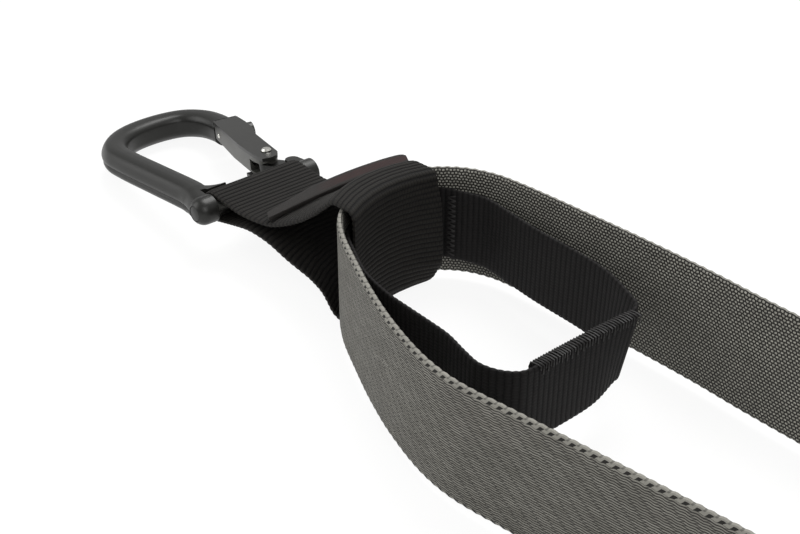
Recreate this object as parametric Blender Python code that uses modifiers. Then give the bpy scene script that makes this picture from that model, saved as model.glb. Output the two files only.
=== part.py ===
"""Suspension trainer laid out on a table: captive-bar carabiner, webbing anchor, one grey strap
with two legs, each leg folded into a tied hank and ending in a cam buckle, a handle and a foot cradle.

Metres, +Z up. The floor is Z = 0. The origin is the middle of the flat underside of the anchor
webbing, +X runs along the legs towards the handles, and +Y is the left side.
"""
import math

import bmesh
import bpy
from mathutils import Euler, Matrix, Vector

# webbing stock
STRAP_WIDTH = 0.038
STRAP_THICK = 0.0018
ANCHOR_WIDTH = 0.0355
ANCHOR_THICK = 0.0018
LOOP_WIDTH = 0.025
LOOP_THICK = 0.0014
HANDLE_WEB_WIDTH = 0.025
HANDLE_WEB_THICK = 0.0018

# clearances
SEAT_GAP = 0.0003
WRAP_GAP = 0.0004
CUT_OVERRUN = 0.002

# carabiner, in its own plane: length along the spine, breadth across it
CARABINER_YAW = math.radians(4.0)
CARABINER_TILT = math.radians(7.5)
CARABINER_ROLL = math.radians(1.0)
BAR_CENTRE = Vector((-0.05647, -0.00161, 0.01685))
CARABINER_LENGTH = 0.0798
SPINE_OFFSET = 0.0175
ROD_RADIUS = 0.0053
BAR_RADIUS = 0.0035
BAR_SPIGOT_RADIUS = 0.0024
BAR_CLEAR_WIDTH = 0.0364
NEAR_BOSS_LENGTH = 0.0062
FAR_EYE_LENGTH = 0.0048
BOSS_RADIUS = 0.0047
FAR_EYE_RADIUS = 0.0043
BOSS_ROOT_SHARE = 0.72
SCREW_HEAD_RADIUS = 0.0029
SCREW_HEAD_HEIGHT = 0.0010
HINGE_ALONG = 0.0143
HINGE_ACROSS = 0.0146
LUG_RADIUS = 0.0031
LUG_THICK = 0.0036
LUG_SETBACK = 0.0062
ARM_THICK = 0.0056
GATE_LENGTH = 0.0418
GATE_TURN = math.radians(13.2)
GATE_THICK = 0.0076
GATE_RISE = 0.0008
NOSE_CHAMFER = 0.0022
GATE_ROOT_RADIUS = 0.0036
GATE_DEPTH = 0.0043
FORK_DEPTH = 0.0062
GATE_PIN_RADIUS = 0.0015
RIVET_HEAD_RADIUS = 0.0018
RIVET_HEAD_HEIGHT = 0.0006
LEVER_SHEET = 0.0012
LEVER_DEPTH = 0.0050
CATCH_RADIUS = 0.0032
CATCH_HEIGHT = 0.0028
SPRING_RADIUS = 0.0014
SPRING_WIRE = 0.00028
SPRING_LENGTH = 0.0070
SPRING_CURLS = 5
LEAF_THICK = 0.0004
LEAF_WIDTH = 0.0050

# anchor webbing: face position and the rise of the loop over the strap
ANCHOR_FACE_X = 0.0036
ANCHOR_BACK_X = -0.0050
ANCHOR_BEND = 0.0030
NEAR_CURL = 0.0045
FAR_CURL = 0.0068
CURL_START_X = -0.044
CURL_LENGTH = 0.024
TAB_WIDTH = 0.0058
TAB_THICK = 0.0016

# lie of the strap and the locking loop on the floor
LAYOUT_MID_Y = -0.0085
LEG_HALF_GAP = 0.037
LEG_REACH = 0.1795
LOOP_REACH = 0.0895
LOOP_LIFT = 0.0091

# hank of folded strap on each leg
HANK_LENGTH = 0.185
HANK_RUNS = 7
HANK_PITCH = 0.0030
TIE_WIDTH = 0.025
TIE_THICK = 0.0017

# cam buckle
BUCKLE_START = 0.467
BUCKLE_LENGTH = 0.050
BUCKLE_SHEET = 0.0020
CHEEK_HEIGHT = 0.0170
SIDE_PLAY = 0.0008
CAM_SETBACK = 0.022
CAM_RADIUS = 0.0050
CAM_LOBE = 0.0011
CAM_TEETH = 7
CAM_PIN_RADIUS = 0.0020
CAM_LEVER_LENGTH = 0.0240
CAM_LEVER_THICK = 0.0026
STRAP_BAR_RADIUS = 0.0025
STRAP_BAR_SETBACK = 0.0070
STRAP_BAR_HEIGHT = 0.0120
PULL_TAB_LENGTH = 0.034
PULL_TAB_WIDTH = 0.025

# handle, grip and foot cradle
HANDLE_OFFSET_Y = 0.0785
BIGHT_CENTRE_X = 0.574
BIGHT_ROOM = 0.0011
GRIP_REACH = 0.118
GRIP_AXIS_Z = 0.0180
TUBE_RADIUS = 0.0150
TUBE_WALL = 0.0018
FOAM_RADIUS = 0.0175
FOAM_HALF_LENGTH = 0.0570
CAP_THICK = 0.0030
CAP_RADIUS = 0.0180
HANDLE_CORNER = 0.0060
HANDLE_CORNER_ROOM = 0.0012
HANDLE_SIDE_RUN = 0.030
CRADLE_REACH = 0.105
CRADLE_GAP = 0.0007
CRADLE_CORNER = 0.026
CRADLE_DROP = 0.0024
CRADLE_SEAM = 0.016
SLIDER_LENGTH = 0.0245
SLIDER_HEIGHT = 0.0308
SLIDER_THICK = 0.0030
SLIDER_BAR = 0.0040
SLIDER_SLOT = 0.0080

BEND_STEPS = 6
ROUTE_STEP = 0.007

SIDES = (("right", -1), ("left", 1))

# shares of LEG_REACH along X, and of LEG_HALF_GAP out from the middle line
STRAP_SHARES = [
    (1.0, -1.0), (0.889, -1.019), (0.671, -1.095), (0.554, -1.143), (0.448, -1.181), (0.382, -1.143),
    (0.292, -1.008), (0.214, -0.846), (0.142, -0.668), (0.060, -0.443), (0.017, -0.262), (-0.0045, -0.068),
    (-0.010, 0.230), (-0.0065, 0.500), (0.003, 0.690), (0.0195, 0.811), (0.0585, 0.973), (0.109, 1.068),
    (0.159, 1.095), (0.304, 1.105), (0.409, 1.103), (0.538, 1.081), (0.632, 1.046), (0.744, 1.019),
    (0.889, 1.003), (1.0, 1.0)]
# shares of LOOP_REACH along X, and of LEG_HALF_GAP out from the middle line
LOOP_CROSS_SHARES = [(0.992, 0.480), (0.972, 0.149), (0.952, -0.311), (0.945, -0.520)]
LOOP_RIGHT_SHARES = [
    (0.943, -0.640), (0.897, -0.735), (0.832, -0.776), (0.765, -0.743), (0.676, -0.681), (0.598, -0.660),
    (0.508, -0.643), (0.397, -0.616), (0.263, -0.532), (0.162, -0.405)]
LOOP_LEFT_SHARES = [
    (0.151, 0.880), (0.229, 0.932), (0.374, 0.884), (0.486, 0.846), (0.777, 0.770),
    (0.915, 0.640), (0.968, 0.568)]
# forward curl of the anchor's far edge: shares of the height over the floor, and of FAR_CURL
FAR_CURL_SHARES = [(0.0, 0.25), (0.06, 0.40), (0.24, 1.0), (0.52, 0.98), (0.76, 0.87), (0.92, 0.60), (1.0, 0.60)]
# the label tab's inner edge: shares of the anchor's run, of its half width and of the climb from bar to top
TAB_SHARES = [(0.507, -1.02, -0.008), (0.591, -0.056, 0.154), (0.727, 0.507, 0.382), (0.850, 0.910, 0.552),
              (0.899, 1.060, 0.608)]


def finish(name, colour, roughness, metallic=0.0):
    material = bpy.data.materials.new(name)
    material.use_nodes = True
    shader = material.node_tree.nodes["Principled BSDF"]
    shader.inputs["Base Color"].default_value = (*colour, 1.0)
    shader.inputs["Roughness"].default_value = roughness
    shader.inputs["Metallic"].default_value = metallic
    return material


def clear_scene():
    for old in list(bpy.data.objects):
        bpy.data.objects.remove(old, do_unlink=True)


def add_object(name, mesh, material, collection):
    mesh.materials.clear()
    mesh.materials.append(material)
    piece = bpy.data.objects.new(name, mesh)
    collection.objects.link(piece)
    return piece


def smooth_shade(piece, angle=math.radians(35.0)):
    piece.data.shade_smooth()
    piece.data.set_sharp_from_angle(angle=angle)
    return piece


def catmull(points, step):
    """A smooth line through hand-chosen points, with centripetal spacing so that it never loops."""
    ends = [points[0] * 2 - points[1]] + list(points) + [points[-1] * 2 - points[-2]]
    line = []
    for before, start, stop, after in zip(ends, ends[1:], ends[2:], ends[3:]):
        knots = [0.0]
        for one, two in ((before, start), (start, stop), (stop, after)):
            knots.append(knots[-1] + math.sqrt((two - one).length))
        pieces = max(1, round((stop - start).length / step))
        for count in range(pieces):
            when = knots[1] + (knots[2] - knots[1]) * count / pieces
            line.append(barry_goldman(before, start, stop, after, knots, when))
    line.append(points[-1].copy())
    return line


def barry_goldman(before, start, stop, after, knots, when):
    def mix(one, two, low, high):
        share = (when - low) / (high - low)
        return one * (1.0 - share) + two * share

    first = mix(before, start, knots[0], knots[1])
    second = mix(start, stop, knots[1], knots[2])
    third = mix(stop, after, knots[2], knots[3])
    left = mix(first, second, knots[0], knots[2])
    right = mix(second, third, knots[1], knots[3])
    return mix(left, right, knots[1], knots[2])


def ribbon(name, stations, thickness, material, collection, closed=False):
    """Webbing: stations are (middle point, half-width vector) pairs, and Solidify gives the thickness."""
    bm = bmesh.new()
    rows = [(bm.verts.new(point - half), bm.verts.new(point + half)) for point, half in stations]
    pairs = list(zip(rows, rows[1:]))
    if closed:
        pairs.append((rows[-1], rows[0]))
    for (low, high), (next_low, next_high) in pairs:
        bm.faces.new((low, next_low, next_high, high))
    mesh = bpy.data.meshes.new(name)
    bm.to_mesh(mesh)
    bm.free()
    return thicken(smooth_shade(add_object(name, mesh, material, collection)), thickness)


def thicken(piece, thickness):
    wall = piece.modifiers.new("thickness", "SOLIDIFY")
    wall.thickness = thickness
    wall.offset = 0.0
    wall.use_even_offset = True
    return piece


def upright(points, width):
    """Stations of webbing that stands on its edge."""
    half = Vector((0.0, 0.0, width / 2))
    return [(point, half) for point in points]


def arc(centre, radius, start, stop, steps, plane="XY", level=0.0):
    """Points on an arc, in the floor plane or in an upright plane along X."""
    points = []
    for count in range(steps + 1):
        angle = start + (stop - start) * count / steps
        along = centre[0] + radius * math.cos(angle)
        other = centre[1] + radius * math.sin(angle)
        points.append(Vector((along, other, level)) if plane == "XY" else Vector((along, level, other)))
    return points


def new_curve(name, dimensions):
    curve = bpy.data.curves.new(name, "CURVE")
    curve.dimensions = dimensions
    return curve


def curve_to_solid(name, curve, material, collection, matrix=None):
    """The curve's closed mesh, with its loose caps welded, placed by a matrix."""
    guide = bpy.data.objects.new(name + "_guide", curve)
    collection.objects.link(guide)
    evaluated = guide.evaluated_get(bpy.context.evaluated_depsgraph_get())
    mesh = bpy.data.meshes.new_from_object(evaluated)
    bpy.data.objects.remove(guide, do_unlink=True)
    bm = bmesh.new()
    bm.from_mesh(mesh)
    bmesh.ops.remove_doubles(bm, verts=bm.verts, dist=0.00001)
    bm.to_mesh(mesh)
    bm.free()
    mesh.name = name
    piece = add_object(name, mesh, material, collection)
    if matrix is not None:
        piece.matrix_world = matrix
    return piece


def plate(name, outlines, thickness, material, collection, matrix=None):
    """A flat plate from closed outlines: the first is its edge, and the rest are holes."""
    curve = new_curve(name, "2D")
    curve.fill_mode = "BOTH"
    curve.extrude = thickness / 2
    for outline in outlines:
        spline = curve.splines.new("POLY")
        spline.points.add(len(outline) - 1)
        for point, (along, across) in zip(spline.points, outline):
            point.co = (along, across, 0.0, 1.0)
        spline.use_cyclic_u = True
    return curve_to_solid(name, curve, material, collection, matrix)


def tube(name, points, radius, material, collection, matrix=None, resolution=3, root_share=1.0, root_length=1.0):
    """A round bar along a line. It may grow from a slimmer root over its first length."""
    curve = new_curve(name, "3D")
    curve.bevel_depth = radius
    curve.bevel_resolution = resolution
    curve.use_fill_caps = True
    spline = curve.splines.new("POLY")
    spline.points.add(len(points) - 1)
    for point, place in zip(spline.points, points):
        point.co = (*place, 1.0)
        grown = min(1.0, (place - points[0]).length / root_length)
        point.radius = root_share + (1.0 - root_share) * grown
    return smooth_shade(curve_to_solid(name, curve, material, collection, matrix))


def rod(name, radius, length, material, collection, matrix, sides=24):
    """A plain cylinder along its own Z, centred on its origin."""
    bm = bmesh.new()
    bmesh.ops.create_cone(bm, cap_ends=True, segments=sides, radius1=radius, radius2=radius, depth=length)
    mesh = bpy.data.meshes.new(name)
    bm.to_mesh(mesh)
    bm.free()
    piece = smooth_shade(add_object(name, mesh, material, collection))
    piece.matrix_world = matrix
    return piece


def block(name, size, material, collection, matrix):
    bm = bmesh.new()
    bmesh.ops.create_cube(bm, size=1.0)
    bmesh.ops.scale(bm, vec=size, verts=bm.verts)
    mesh = bpy.data.meshes.new(name)
    bm.to_mesh(mesh)
    bm.free()
    piece = add_object(name, mesh, material, collection)
    piece.matrix_world = matrix
    return piece


def turned(name, profile, material, collection, matrix, steps=28, closed=False):
    """A lathe profile of (radius, height) pairs, from top to bottom down its outer side."""
    bm = bmesh.new()
    verts = [bm.verts.new((radius, 0.0, height)) for radius, height in profile]
    for one, two in zip(verts, verts[1:]):
        bm.edges.new((one, two))
    if closed:
        bm.edges.new((verts[-1], verts[0]))
    mesh = bpy.data.meshes.new(name)
    bm.to_mesh(mesh)
    bm.free()
    piece = smooth_shade(add_object(name, mesh, material, collection))
    lathe = piece.modifiers.new("lathe", "SCREW")
    lathe.steps = steps
    lathe.render_steps = steps
    lathe.use_merge_vertices = True
    lathe.merge_threshold = 0.00001
    piece.matrix_world = matrix
    return piece


def soften(piece, width, segments=2):
    bevel = piece.modifiers.new("soft_edges", "BEVEL")
    bevel.width = width
    bevel.segments = segments
    bevel.limit_method = "ANGLE"
    bevel.angle_limit = math.radians(40.0)
    return piece


def boolean(piece, other, operation):
    step = piece.modifiers.new(operation.lower(), "BOOLEAN")
    step.operation = operation
    step.solver = "EXACT"
    step.object = other
    other.hide_render = True
    other.display_type = "WIRE"


def facing_y(centre):
    """A matrix that lays a piece's own Z along world -Y."""
    return Matrix.Translation(centre) @ Matrix.Rotation(math.radians(90.0), 4, "X")


def rounded_box_outline(half_along, half_across, radius, steps=BEND_STEPS):
    """A rectangle with round corners, run anticlockwise."""
    outline = []
    for quarter, (along, across) in enumerate(((1, 1), (-1, 1), (-1, -1), (1, -1))):
        centre = (along * (half_along - radius), across * (half_across - radius))
        start = quarter * math.pi / 2
        outline += [(p.x, p.y) for p in arc(centre, radius, start, start + math.pi / 2, steps)]
    return outline


def capsule_outline(start, stop, start_radius, stop_radius, steps=BEND_STEPS):
    """Two round ends joined by straight sides."""
    start, stop = Vector(start), Vector(stop)
    run = stop - start
    heading = math.atan2(run.y, run.x)
    half = math.pi / 2
    points = arc(stop, stop_radius, heading - half, heading + half, steps)
    points += arc(start, start_radius, heading + half, heading + 3 * half, steps)
    return [(p.x, p.y) for p in points]


# carabiner

def carabiner_matrix():
    turn = Euler((CARABINER_ROLL, CARABINER_TILT, math.pi - CARABINER_YAW), "XYZ")
    return Matrix.Translation(BAR_CENTRE) @ turn.to_matrix().to_4x4()


def carabiner_route():
    """Middle line of the forged rod, from the near boss round the wide end to the nose."""
    length_shares = [
        0.004, 0.044, 0.100, 0.150, 0.214, 0.462, 0.695, 0.798, 0.891, 0.964, 1.0, 1.0, 0.964, 0.881, 0.775,
        0.698]
    breadth_shares = [
        1.190, 1.140, 1.045, 1.005, 0.995, 1.0, 1.0, 0.96, 0.771, 0.40, -0.057, -0.680, -1.110, -1.370, -1.435,
        -1.400]
    return [Vector((CARABINER_LENGTH * along, SPINE_OFFSET * across, 0.0))
            for along, across in zip(length_shares, breadth_shares)]


def build_carabiner(steel, alloy, silver, parts, cutters):
    place = carabiner_matrix()
    body = tube("carabiner_body", catmull(carabiner_route(), ROUTE_STEP / 2), ROD_RADIUS, alloy, parts, place,
                root_share=BOSS_ROOT_SHARE, root_length=2 * BOSS_RADIUS)
    inner = BAR_CLEAR_WIDTH / 2
    far_mid = inner + FAR_EYE_LENGTH / 2
    quarter = Matrix.Rotation(math.radians(90.0), 4, "X")
    boss_end = inner + NEAR_BOSS_LENGTH
    near_boss = turned("near_boss", [
        (0.0, boss_end), (BOSS_RADIUS * 0.70, boss_end), (BOSS_RADIUS * 0.92, boss_end - BOSS_RADIUS * 0.16),
        (BOSS_RADIUS, boss_end - BOSS_RADIUS * 0.42), (BOSS_RADIUS, inner), (0.0, inner)],
        alloy, cutters, place @ Matrix.Rotation(math.radians(-90.0), 4, "X"))
    boolean(body, near_boss, "UNION")
    bracket = rod("hinge_bracket", FAR_EYE_RADIUS, FAR_EYE_LENGTH, alloy, parts,
                  place @ Matrix.Translation((0.0, -far_mid, 0.0)) @ quarter)
    lug_centre = (HINGE_ALONG - LUG_SETBACK, -HINGE_ACROSS - LUG_RADIUS * 0.9)
    arm = plate("hinge_arm", [capsule_outline(
        (0.0, -far_mid), (HINGE_ALONG - LUG_SETBACK, -far_mid), FAR_EYE_LENGTH / 2, FAR_EYE_LENGTH / 2)],
        ARM_THICK, alloy, cutters, place)
    lug = plate("hinge_lug", [capsule_outline(
        lug_centre, (HINGE_ALONG, -HINGE_ACROSS), LUG_RADIUS, LUG_RADIUS)], LUG_THICK, alloy, cutters, place)
    for piece in (arm, lug):
        boolean(bracket, piece, "UNION")
    bar_hole = rod("bar_hole", BAR_SPIGOT_RADIUS + SEAT_GAP, BAR_CLEAR_WIDTH * 2, alloy, cutters, place @ quarter)
    pin_hole = rod("pin_hole", GATE_PIN_RADIUS + SEAT_GAP, ARM_THICK * 2, alloy, cutters,
                   place @ Matrix.Translation((HINGE_ALONG, -HINGE_ACROSS, 0.0)))
    # The webbing's slot between the bosses is kept clear of the rod's round sides.
    web_room = BAR_RADIUS + ANCHOR_THICK + 3 * SEAT_GAP
    slot = block("webbing_slot", (2 * web_room, BAR_CLEAR_WIDTH, 4 * web_room), alloy, cutters, place)
    for piece in (body, bracket):
        boolean(piece, bar_hole, "DIFFERENCE")
        boolean(piece, slot, "DIFFERENCE")
    boolean(bracket, pin_hole, "DIFFERENCE")

    shoulder = inner - SEAT_GAP
    near_end = inner + NEAR_BOSS_LENGTH
    far_end = inner + FAR_EYE_LENGTH
    turned("captive_bar", [
        (0.0, near_end), (BAR_SPIGOT_RADIUS, near_end), (BAR_SPIGOT_RADIUS, shoulder), (BAR_RADIUS, shoulder),
        (BAR_RADIUS, -shoulder), (BAR_SPIGOT_RADIUS, -shoulder), (BAR_SPIGOT_RADIUS, -far_end), (0.0, -far_end)],
        steel, parts, place @ Matrix.Rotation(math.radians(-90.0), 4, "X"))
    head_y = near_end + SEAT_GAP + SCREW_HEAD_HEIGHT / 2
    screw = rod("bar_screw", SCREW_HEAD_RADIUS, SCREW_HEAD_HEIGHT, steel, parts,
                place @ Matrix.Translation((0.0, head_y, 0.0)) @ quarter)
    soften(screw, SCREW_HEAD_HEIGHT / 4)
    build_gate(alloy, silver, steel, parts, cutters, place)


def build_gate(alloy, silver, steel, parts, cutters, place):
    hinge = place @ Matrix.Translation((HINGE_ALONG, -HINGE_ACROSS, 0.0))
    gate_frame = hinge @ Matrix.Rotation(-GATE_TURN, 4, "Z") @ Matrix.Translation((0.0, 0.0, GATE_RISE))
    run, deep = GATE_LENGTH, GATE_DEPTH
    root = [(p.x, p.y) for p in arc((0.0, 0.0), GATE_ROOT_RADIUS, math.pi / 2, math.pi * 1.65, 12)]
    back_shares = [(0.135, -0.29), (0.43, -0.14), (0.77, -0.37), (0.975, -0.17), (1.0, 0.0), (1.0, 0.84),
                   (0.98, 1.0), (0.10, 1.0)]
    gate = plate("gate", [root + [(run * along, deep * across) for along, across in back_shares]],
                 GATE_THICK, alloy, parts, gate_frame)
    spring_frame = gate_frame @ Matrix.Translation((0.0, GATE_DEPTH * 0.36, 0.0))
    fork = block("fork_slot", (2 * FORK_DEPTH, 4 * GATE_DEPTH, LUG_THICK + 2 * SEAT_GAP), alloy, cutters,
                 gate_frame @ Matrix.Translation((0.0, 0.0, -GATE_RISE)))
    chamfer = plate("nose_chamfer", [[
        (run * 0.55, -GATE_THICK / 2), (run * 1.05, -GATE_THICK / 2 + NOSE_CHAMFER), (run * 1.05, -GATE_THICK),
        (run * 0.55, -GATE_THICK)]], 4 * GATE_DEPTH, alloy, cutters,
        gate_frame @ Matrix.Rotation(math.radians(90.0), 4, "X"))
    pocket = rod("spring_pocket", SPRING_RADIUS + SPRING_WIRE + SEAT_GAP, 2 * SPRING_LENGTH + 2 * FORK_DEPTH,
                 alloy, cutters, spring_frame @ Matrix.Rotation(math.radians(90.0), 4, "Y"), sides=16)
    eye = rod("gate_eye", GATE_PIN_RADIUS + SEAT_GAP, 2 * GATE_THICK, alloy, cutters, gate_frame)
    for piece in (fork, pocket, eye, chamfer):
        boolean(gate, piece, "DIFFERENCE")

    cheek_top = GATE_THICK / 2 + SEAT_GAP + LEVER_SHEET
    pin_top = cheek_top + SEAT_GAP
    pin_frame = hinge @ Matrix.Translation((0.0, 0.0, GATE_RISE))
    turned("gate_pin", [
        (0.0, pin_top + RIVET_HEAD_HEIGHT), (RIVET_HEAD_RADIUS * 0.7, pin_top + RIVET_HEAD_HEIGHT),
        (RIVET_HEAD_RADIUS, pin_top), (GATE_PIN_RADIUS, pin_top),
        (GATE_PIN_RADIUS, -pin_top), (RIVET_HEAD_RADIUS, -pin_top),
        (RIVET_HEAD_RADIUS * 0.7, -pin_top - RIVET_HEAD_HEIGHT), (0.0, -pin_top - RIVET_HEAD_HEIGHT)],
        silver, parts, pin_frame, steps=20)

    spring_start = FORK_DEPTH + SEAT_GAP
    helix = []
    for count in range(8 * SPRING_CURLS + 1):
        turn = math.tau * count / 8
        helix.append(Vector((spring_start + SPRING_WIRE + (SPRING_LENGTH - 4 * SPRING_WIRE) * count
                             / (8 * SPRING_CURLS), SPRING_RADIUS * math.cos(turn), SPRING_RADIUS * math.sin(turn))))
    tube("gate_spring", helix, SPRING_WIRE, steel, parts, spring_frame, resolution=1)
    build_lever(alloy, steel, parts, cutters, gate_frame)


def build_lever(alloy, steel, parts, cutters, gate_frame):
    """A folded channel over the gate's back: two cheeks on the hinge pin and an outer web."""
    run, deep = GATE_LENGTH, LEVER_DEPTH
    inner_shares = [(-0.155, 0.83), (0.0, 1.05), (0.272, 1.16), (0.60, 1.08), (0.98, 1.0)]
    outer_shares = [(0.983, -0.88), (0.78, -1.0), (0.56, -0.95), (0.44, -0.64), (0.13, -0.62)]
    end_shares = [(-0.07, -0.60), (-0.135, -0.36), (-0.165, 0.10)]
    outer = [(run * along, deep * across) for along, across in outer_shares]
    inner = [(run * along, deep * across) for along, across in inner_shares]
    end = [(run * along, deep * across) for along, across in end_shares]
    tall = GATE_THICK + 2 * SEAT_GAP
    lever = plate("lever", [outer + end + inner], tall + 2 * LEVER_SHEET, alloy, parts, gate_frame)
    web = [(along, across + LEVER_SHEET) for along, across in outer]
    room_outline = [
        (run * 1.1, web[0][1]), *web[1:], (web[-1][0], -3 * deep), (-run * 0.3, -3 * deep),
        (-run * 0.3, 3 * deep), (run * 1.1, 3 * deep)]
    room = plate("lever_room", [room_outline], tall, alloy, cutters, gate_frame)
    eye = rod("lever_eye", GATE_PIN_RADIUS + SEAT_GAP, 2 * tall, alloy, cutters, gate_frame)
    web_y = outer[1][1]
    catch = rod("thumb_catch", CATCH_RADIUS, CATCH_HEIGHT + LEVER_SHEET / 2, alloy, cutters,
                gate_frame @ Matrix.Translation((run * 0.815, web_y + LEVER_SHEET / 4 - CATCH_HEIGHT / 2, GATE_RISE))
                @ Matrix.Rotation(math.radians(90.0), 4, "X"))
    trim = block("lower_cheek_trim", (run, 4 * deep, 3 * LEVER_SHEET), alloy, cutters,
                 gate_frame @ Matrix.Translation((run * 0.68, deep * 2.1, -tall / 2 - LEVER_SHEET)))
    boolean(lever, room, "DIFFERENCE")
    boolean(lever, eye, "DIFFERENCE")
    boolean(lever, trim, "DIFFERENCE")
    boolean(lever, catch, "UNION")

    leaf_shares = [(0.48, -0.26), (0.58, -0.32), (0.67, -0.50), (0.74, -0.65)]
    line = catmull([Vector((run * along, deep * across, 0.0)) for along, across in leaf_shares], ROUTE_STEP / 2)
    leaf = ribbon("lever_spring", upright(line, LEAF_WIDTH), LEAF_THICK, steel, parts)
    leaf.matrix_world = gate_frame


# anchor webbing, label tab, main strap and locking loop

def leg_points(shares, reach):
    return [Vector((reach * along, LAYOUT_MID_Y + LEG_HALF_GAP * out, 0.0)) for along, out in shares]


def beside(points, distance):
    """The same line, moved sideways to its right."""
    moved = []
    for before, point, after in zip([points[0]] + points, points, points[1:] + [points[-1]]):
        run = (after - before).normalized()
        moved.append(point + Vector((run.y, -run.x, 0.0)) * distance)
    return moved


def strap_line():
    return catmull(leg_points(STRAP_SHARES, LEG_REACH), ROUTE_STEP)


def raised(points, height):
    return [Vector((p.x, p.y, height)) for p in points]


def strap_level():
    return ANCHOR_THICK + SEAT_GAP + STRAP_WIDTH / 2


def build_main_strap(grey, parts):
    line = raised(strap_line(), strap_level())
    return ribbon("main_strap", upright(line, STRAP_WIDTH), STRAP_THICK, grey, parts)


def build_locking_loop(black, parts):
    """A sewn ring inside the bight of the strap; its two ends lie on each other along the cross side."""
    ply = (LOOP_THICK + SEAT_GAP) / 2
    cross = leg_points(LOOP_CROSS_SHARES, LOOP_REACH)
    outer_ply = [p + Vector((ply, 0.0, 0.0)) for p in cross]
    inner_ply = [p - Vector((ply, 0.0, 0.0)) for p in cross]
    half = ANCHOR_WIDTH / 2
    bight = [p for p in strap_line() if p.x < LOOP_REACH / 9 and -1.2 * half < p.y < 1.3 * half]
    bight = beside(bight, (STRAP_THICK + LOOP_THICK) / 2 + WRAP_GAP)
    route = outer_ply + leg_points(LOOP_RIGHT_SHARES, LOOP_REACH) + bight
    route += leg_points(LOOP_LEFT_SHARES, LOOP_REACH) + inner_ply
    line = raised(catmull(route, ROUTE_STEP * 0.8), LOOP_LIFT + LOOP_WIDTH / 2)
    return ribbon("locking_loop", upright(line, LOOP_WIDTH), LOOP_THICK, black, parts)


def anchor_top():
    return strap_level() + STRAP_WIDTH / 2 + SEAT_GAP + ANCHOR_THICK / 2


def anchor_over_bar():
    """Height of the webbing's middle where it lies on the bar."""
    return BAR_CENTRE.z + BAR_RADIUS + SEAT_GAP + ANCHOR_THICK / 2


def anchor_profile():
    """Side view of the anchor webbing's middle: over the bar, up over the strap, down its face and back."""
    half = ANCHOR_THICK / 2
    top = anchor_top()
    face, back = ANCHOR_FACE_X, ANCHOR_BACK_X
    bar_x, bar_z = BAR_CENTRE.x, BAR_CENTRE.z
    start = anchor_over_bar()
    run = back - bar_x
    dip_shares = [(0.250, -0.455), (0.368, -0.400), (0.475, -0.083)]
    climb_shares = [(0.590, 0.149), (0.717, 0.397), (0.833, 0.634), (0.924, 0.850), (0.976, 0.975), (1.0, 1.0)]
    lower_shares = [(0.970, 0.0), (0.934, 0.048), (0.832, 0.399), (0.571, 0.702), (0.445, 0.869), (0.319, 0.922),
                    (0.222, 0.869)]
    upper = [(bar_x + run * along, start + BAR_RADIUS * down) for along, down in dip_shares]
    upper += [(bar_x + run * along, start + (top - start) * up) for along, up in climb_shares]
    lower = [(bar_x + run * along, half + (bar_z - half) * up) for along, up in lower_shares]
    top_bend = [(p.x, p.z) for p in arc((face - ANCHOR_BEND, top - ANCHOR_BEND), ANCHOR_BEND,
                                        math.pi / 2, 0.0, 4, "XZ")]
    low_bend = [(p.x, p.z) for p in arc((face - ANCHOR_BEND, half + ANCHOR_BEND), ANCHOR_BEND,
                                        0.0, -math.pi / 2, 4, "XZ")]
    round_bar = [(p.x, p.z) for p in arc((bar_x, bar_z), start - bar_z, -math.pi / 2, -1.5 * math.pi, 10, "XZ")]
    return round_bar, upper, top_bend + low_bend, lower


def share_at(pairs, place):
    """Straight lines between the pairs."""
    for (start, low), (end, high) in zip(pairs, pairs[1:]):
        if place <= end:
            return low + (high - low) * (place - start) / (end - start)
    return pairs[-1][1]


def build_anchor(black, parts):
    """One sewn ring of webbing. Its edges curl forward where it passes round the strap."""
    round_bar, upper, face, lower = anchor_profile()
    outline = [Vector((x, 0.0, z)) for x, z in round_bar]
    rise = catmull([outline[-1]] + [Vector((x, 0.0, z)) for x, z in upper], ROUTE_STEP * 0.6)
    turn = [Vector((x, 0.0, z)) for x, z in face + lower[:1]]
    back = catmull([turn[-1]] + [Vector((x, 0.0, z)) for x, z in lower[1:]] + [outline[0]], ROUTE_STEP * 0.6)
    line = outline + rise[1:] + turn + back[1:-1]
    rows = []
    for point in line:
        loose = min(1.0, max(0.0, (point.x - CURL_START_X) / CURL_LENGTH))
        yaw = CARABINER_YAW * (1.0 - loose)
        across = Vector((math.sin(yaw), math.cos(yaw), -math.sin(CARABINER_ROLL) * (1.0 - loose)))
        middle = point + Vector((0.0, BAR_CENTRE.y * (1.0 - loose), 0.0))
        lower_ply = 1.5 if point.z < BAR_CENTRE.z and point.x < ANCHOR_BACK_X else 1.0
        near = NEAR_CURL * loose * lower_ply
        far = FAR_CURL * loose * share_at(FAR_CURL_SHARES, point.z / anchor_top())
        rows.append([middle + across * ANCHOR_WIDTH / 2 * share
                     + Vector(((near if share < 0.0 else far) * share * share, 0.0, 0.0))
                     for share in (-1.0, -0.67, -0.33, 0.0, 0.33, 0.67, 1.0)])
    bm = bmesh.new()
    grid = [[bm.verts.new(point) for point in row] for row in rows]
    for row, after in zip(grid, grid[1:] + grid[:1]):
        for one, two, far_one, far_two in zip(row, row[1:], after, after[1:]):
            bm.faces.new((one, far_one, far_two, two))
    mesh = bpy.data.meshes.new("anchor_webbing")
    bm.to_mesh(mesh)
    bm.free()
    return thicken(smooth_shade(add_object("anchor_webbing", mesh, black, parts)), ANCHOR_THICK)


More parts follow.
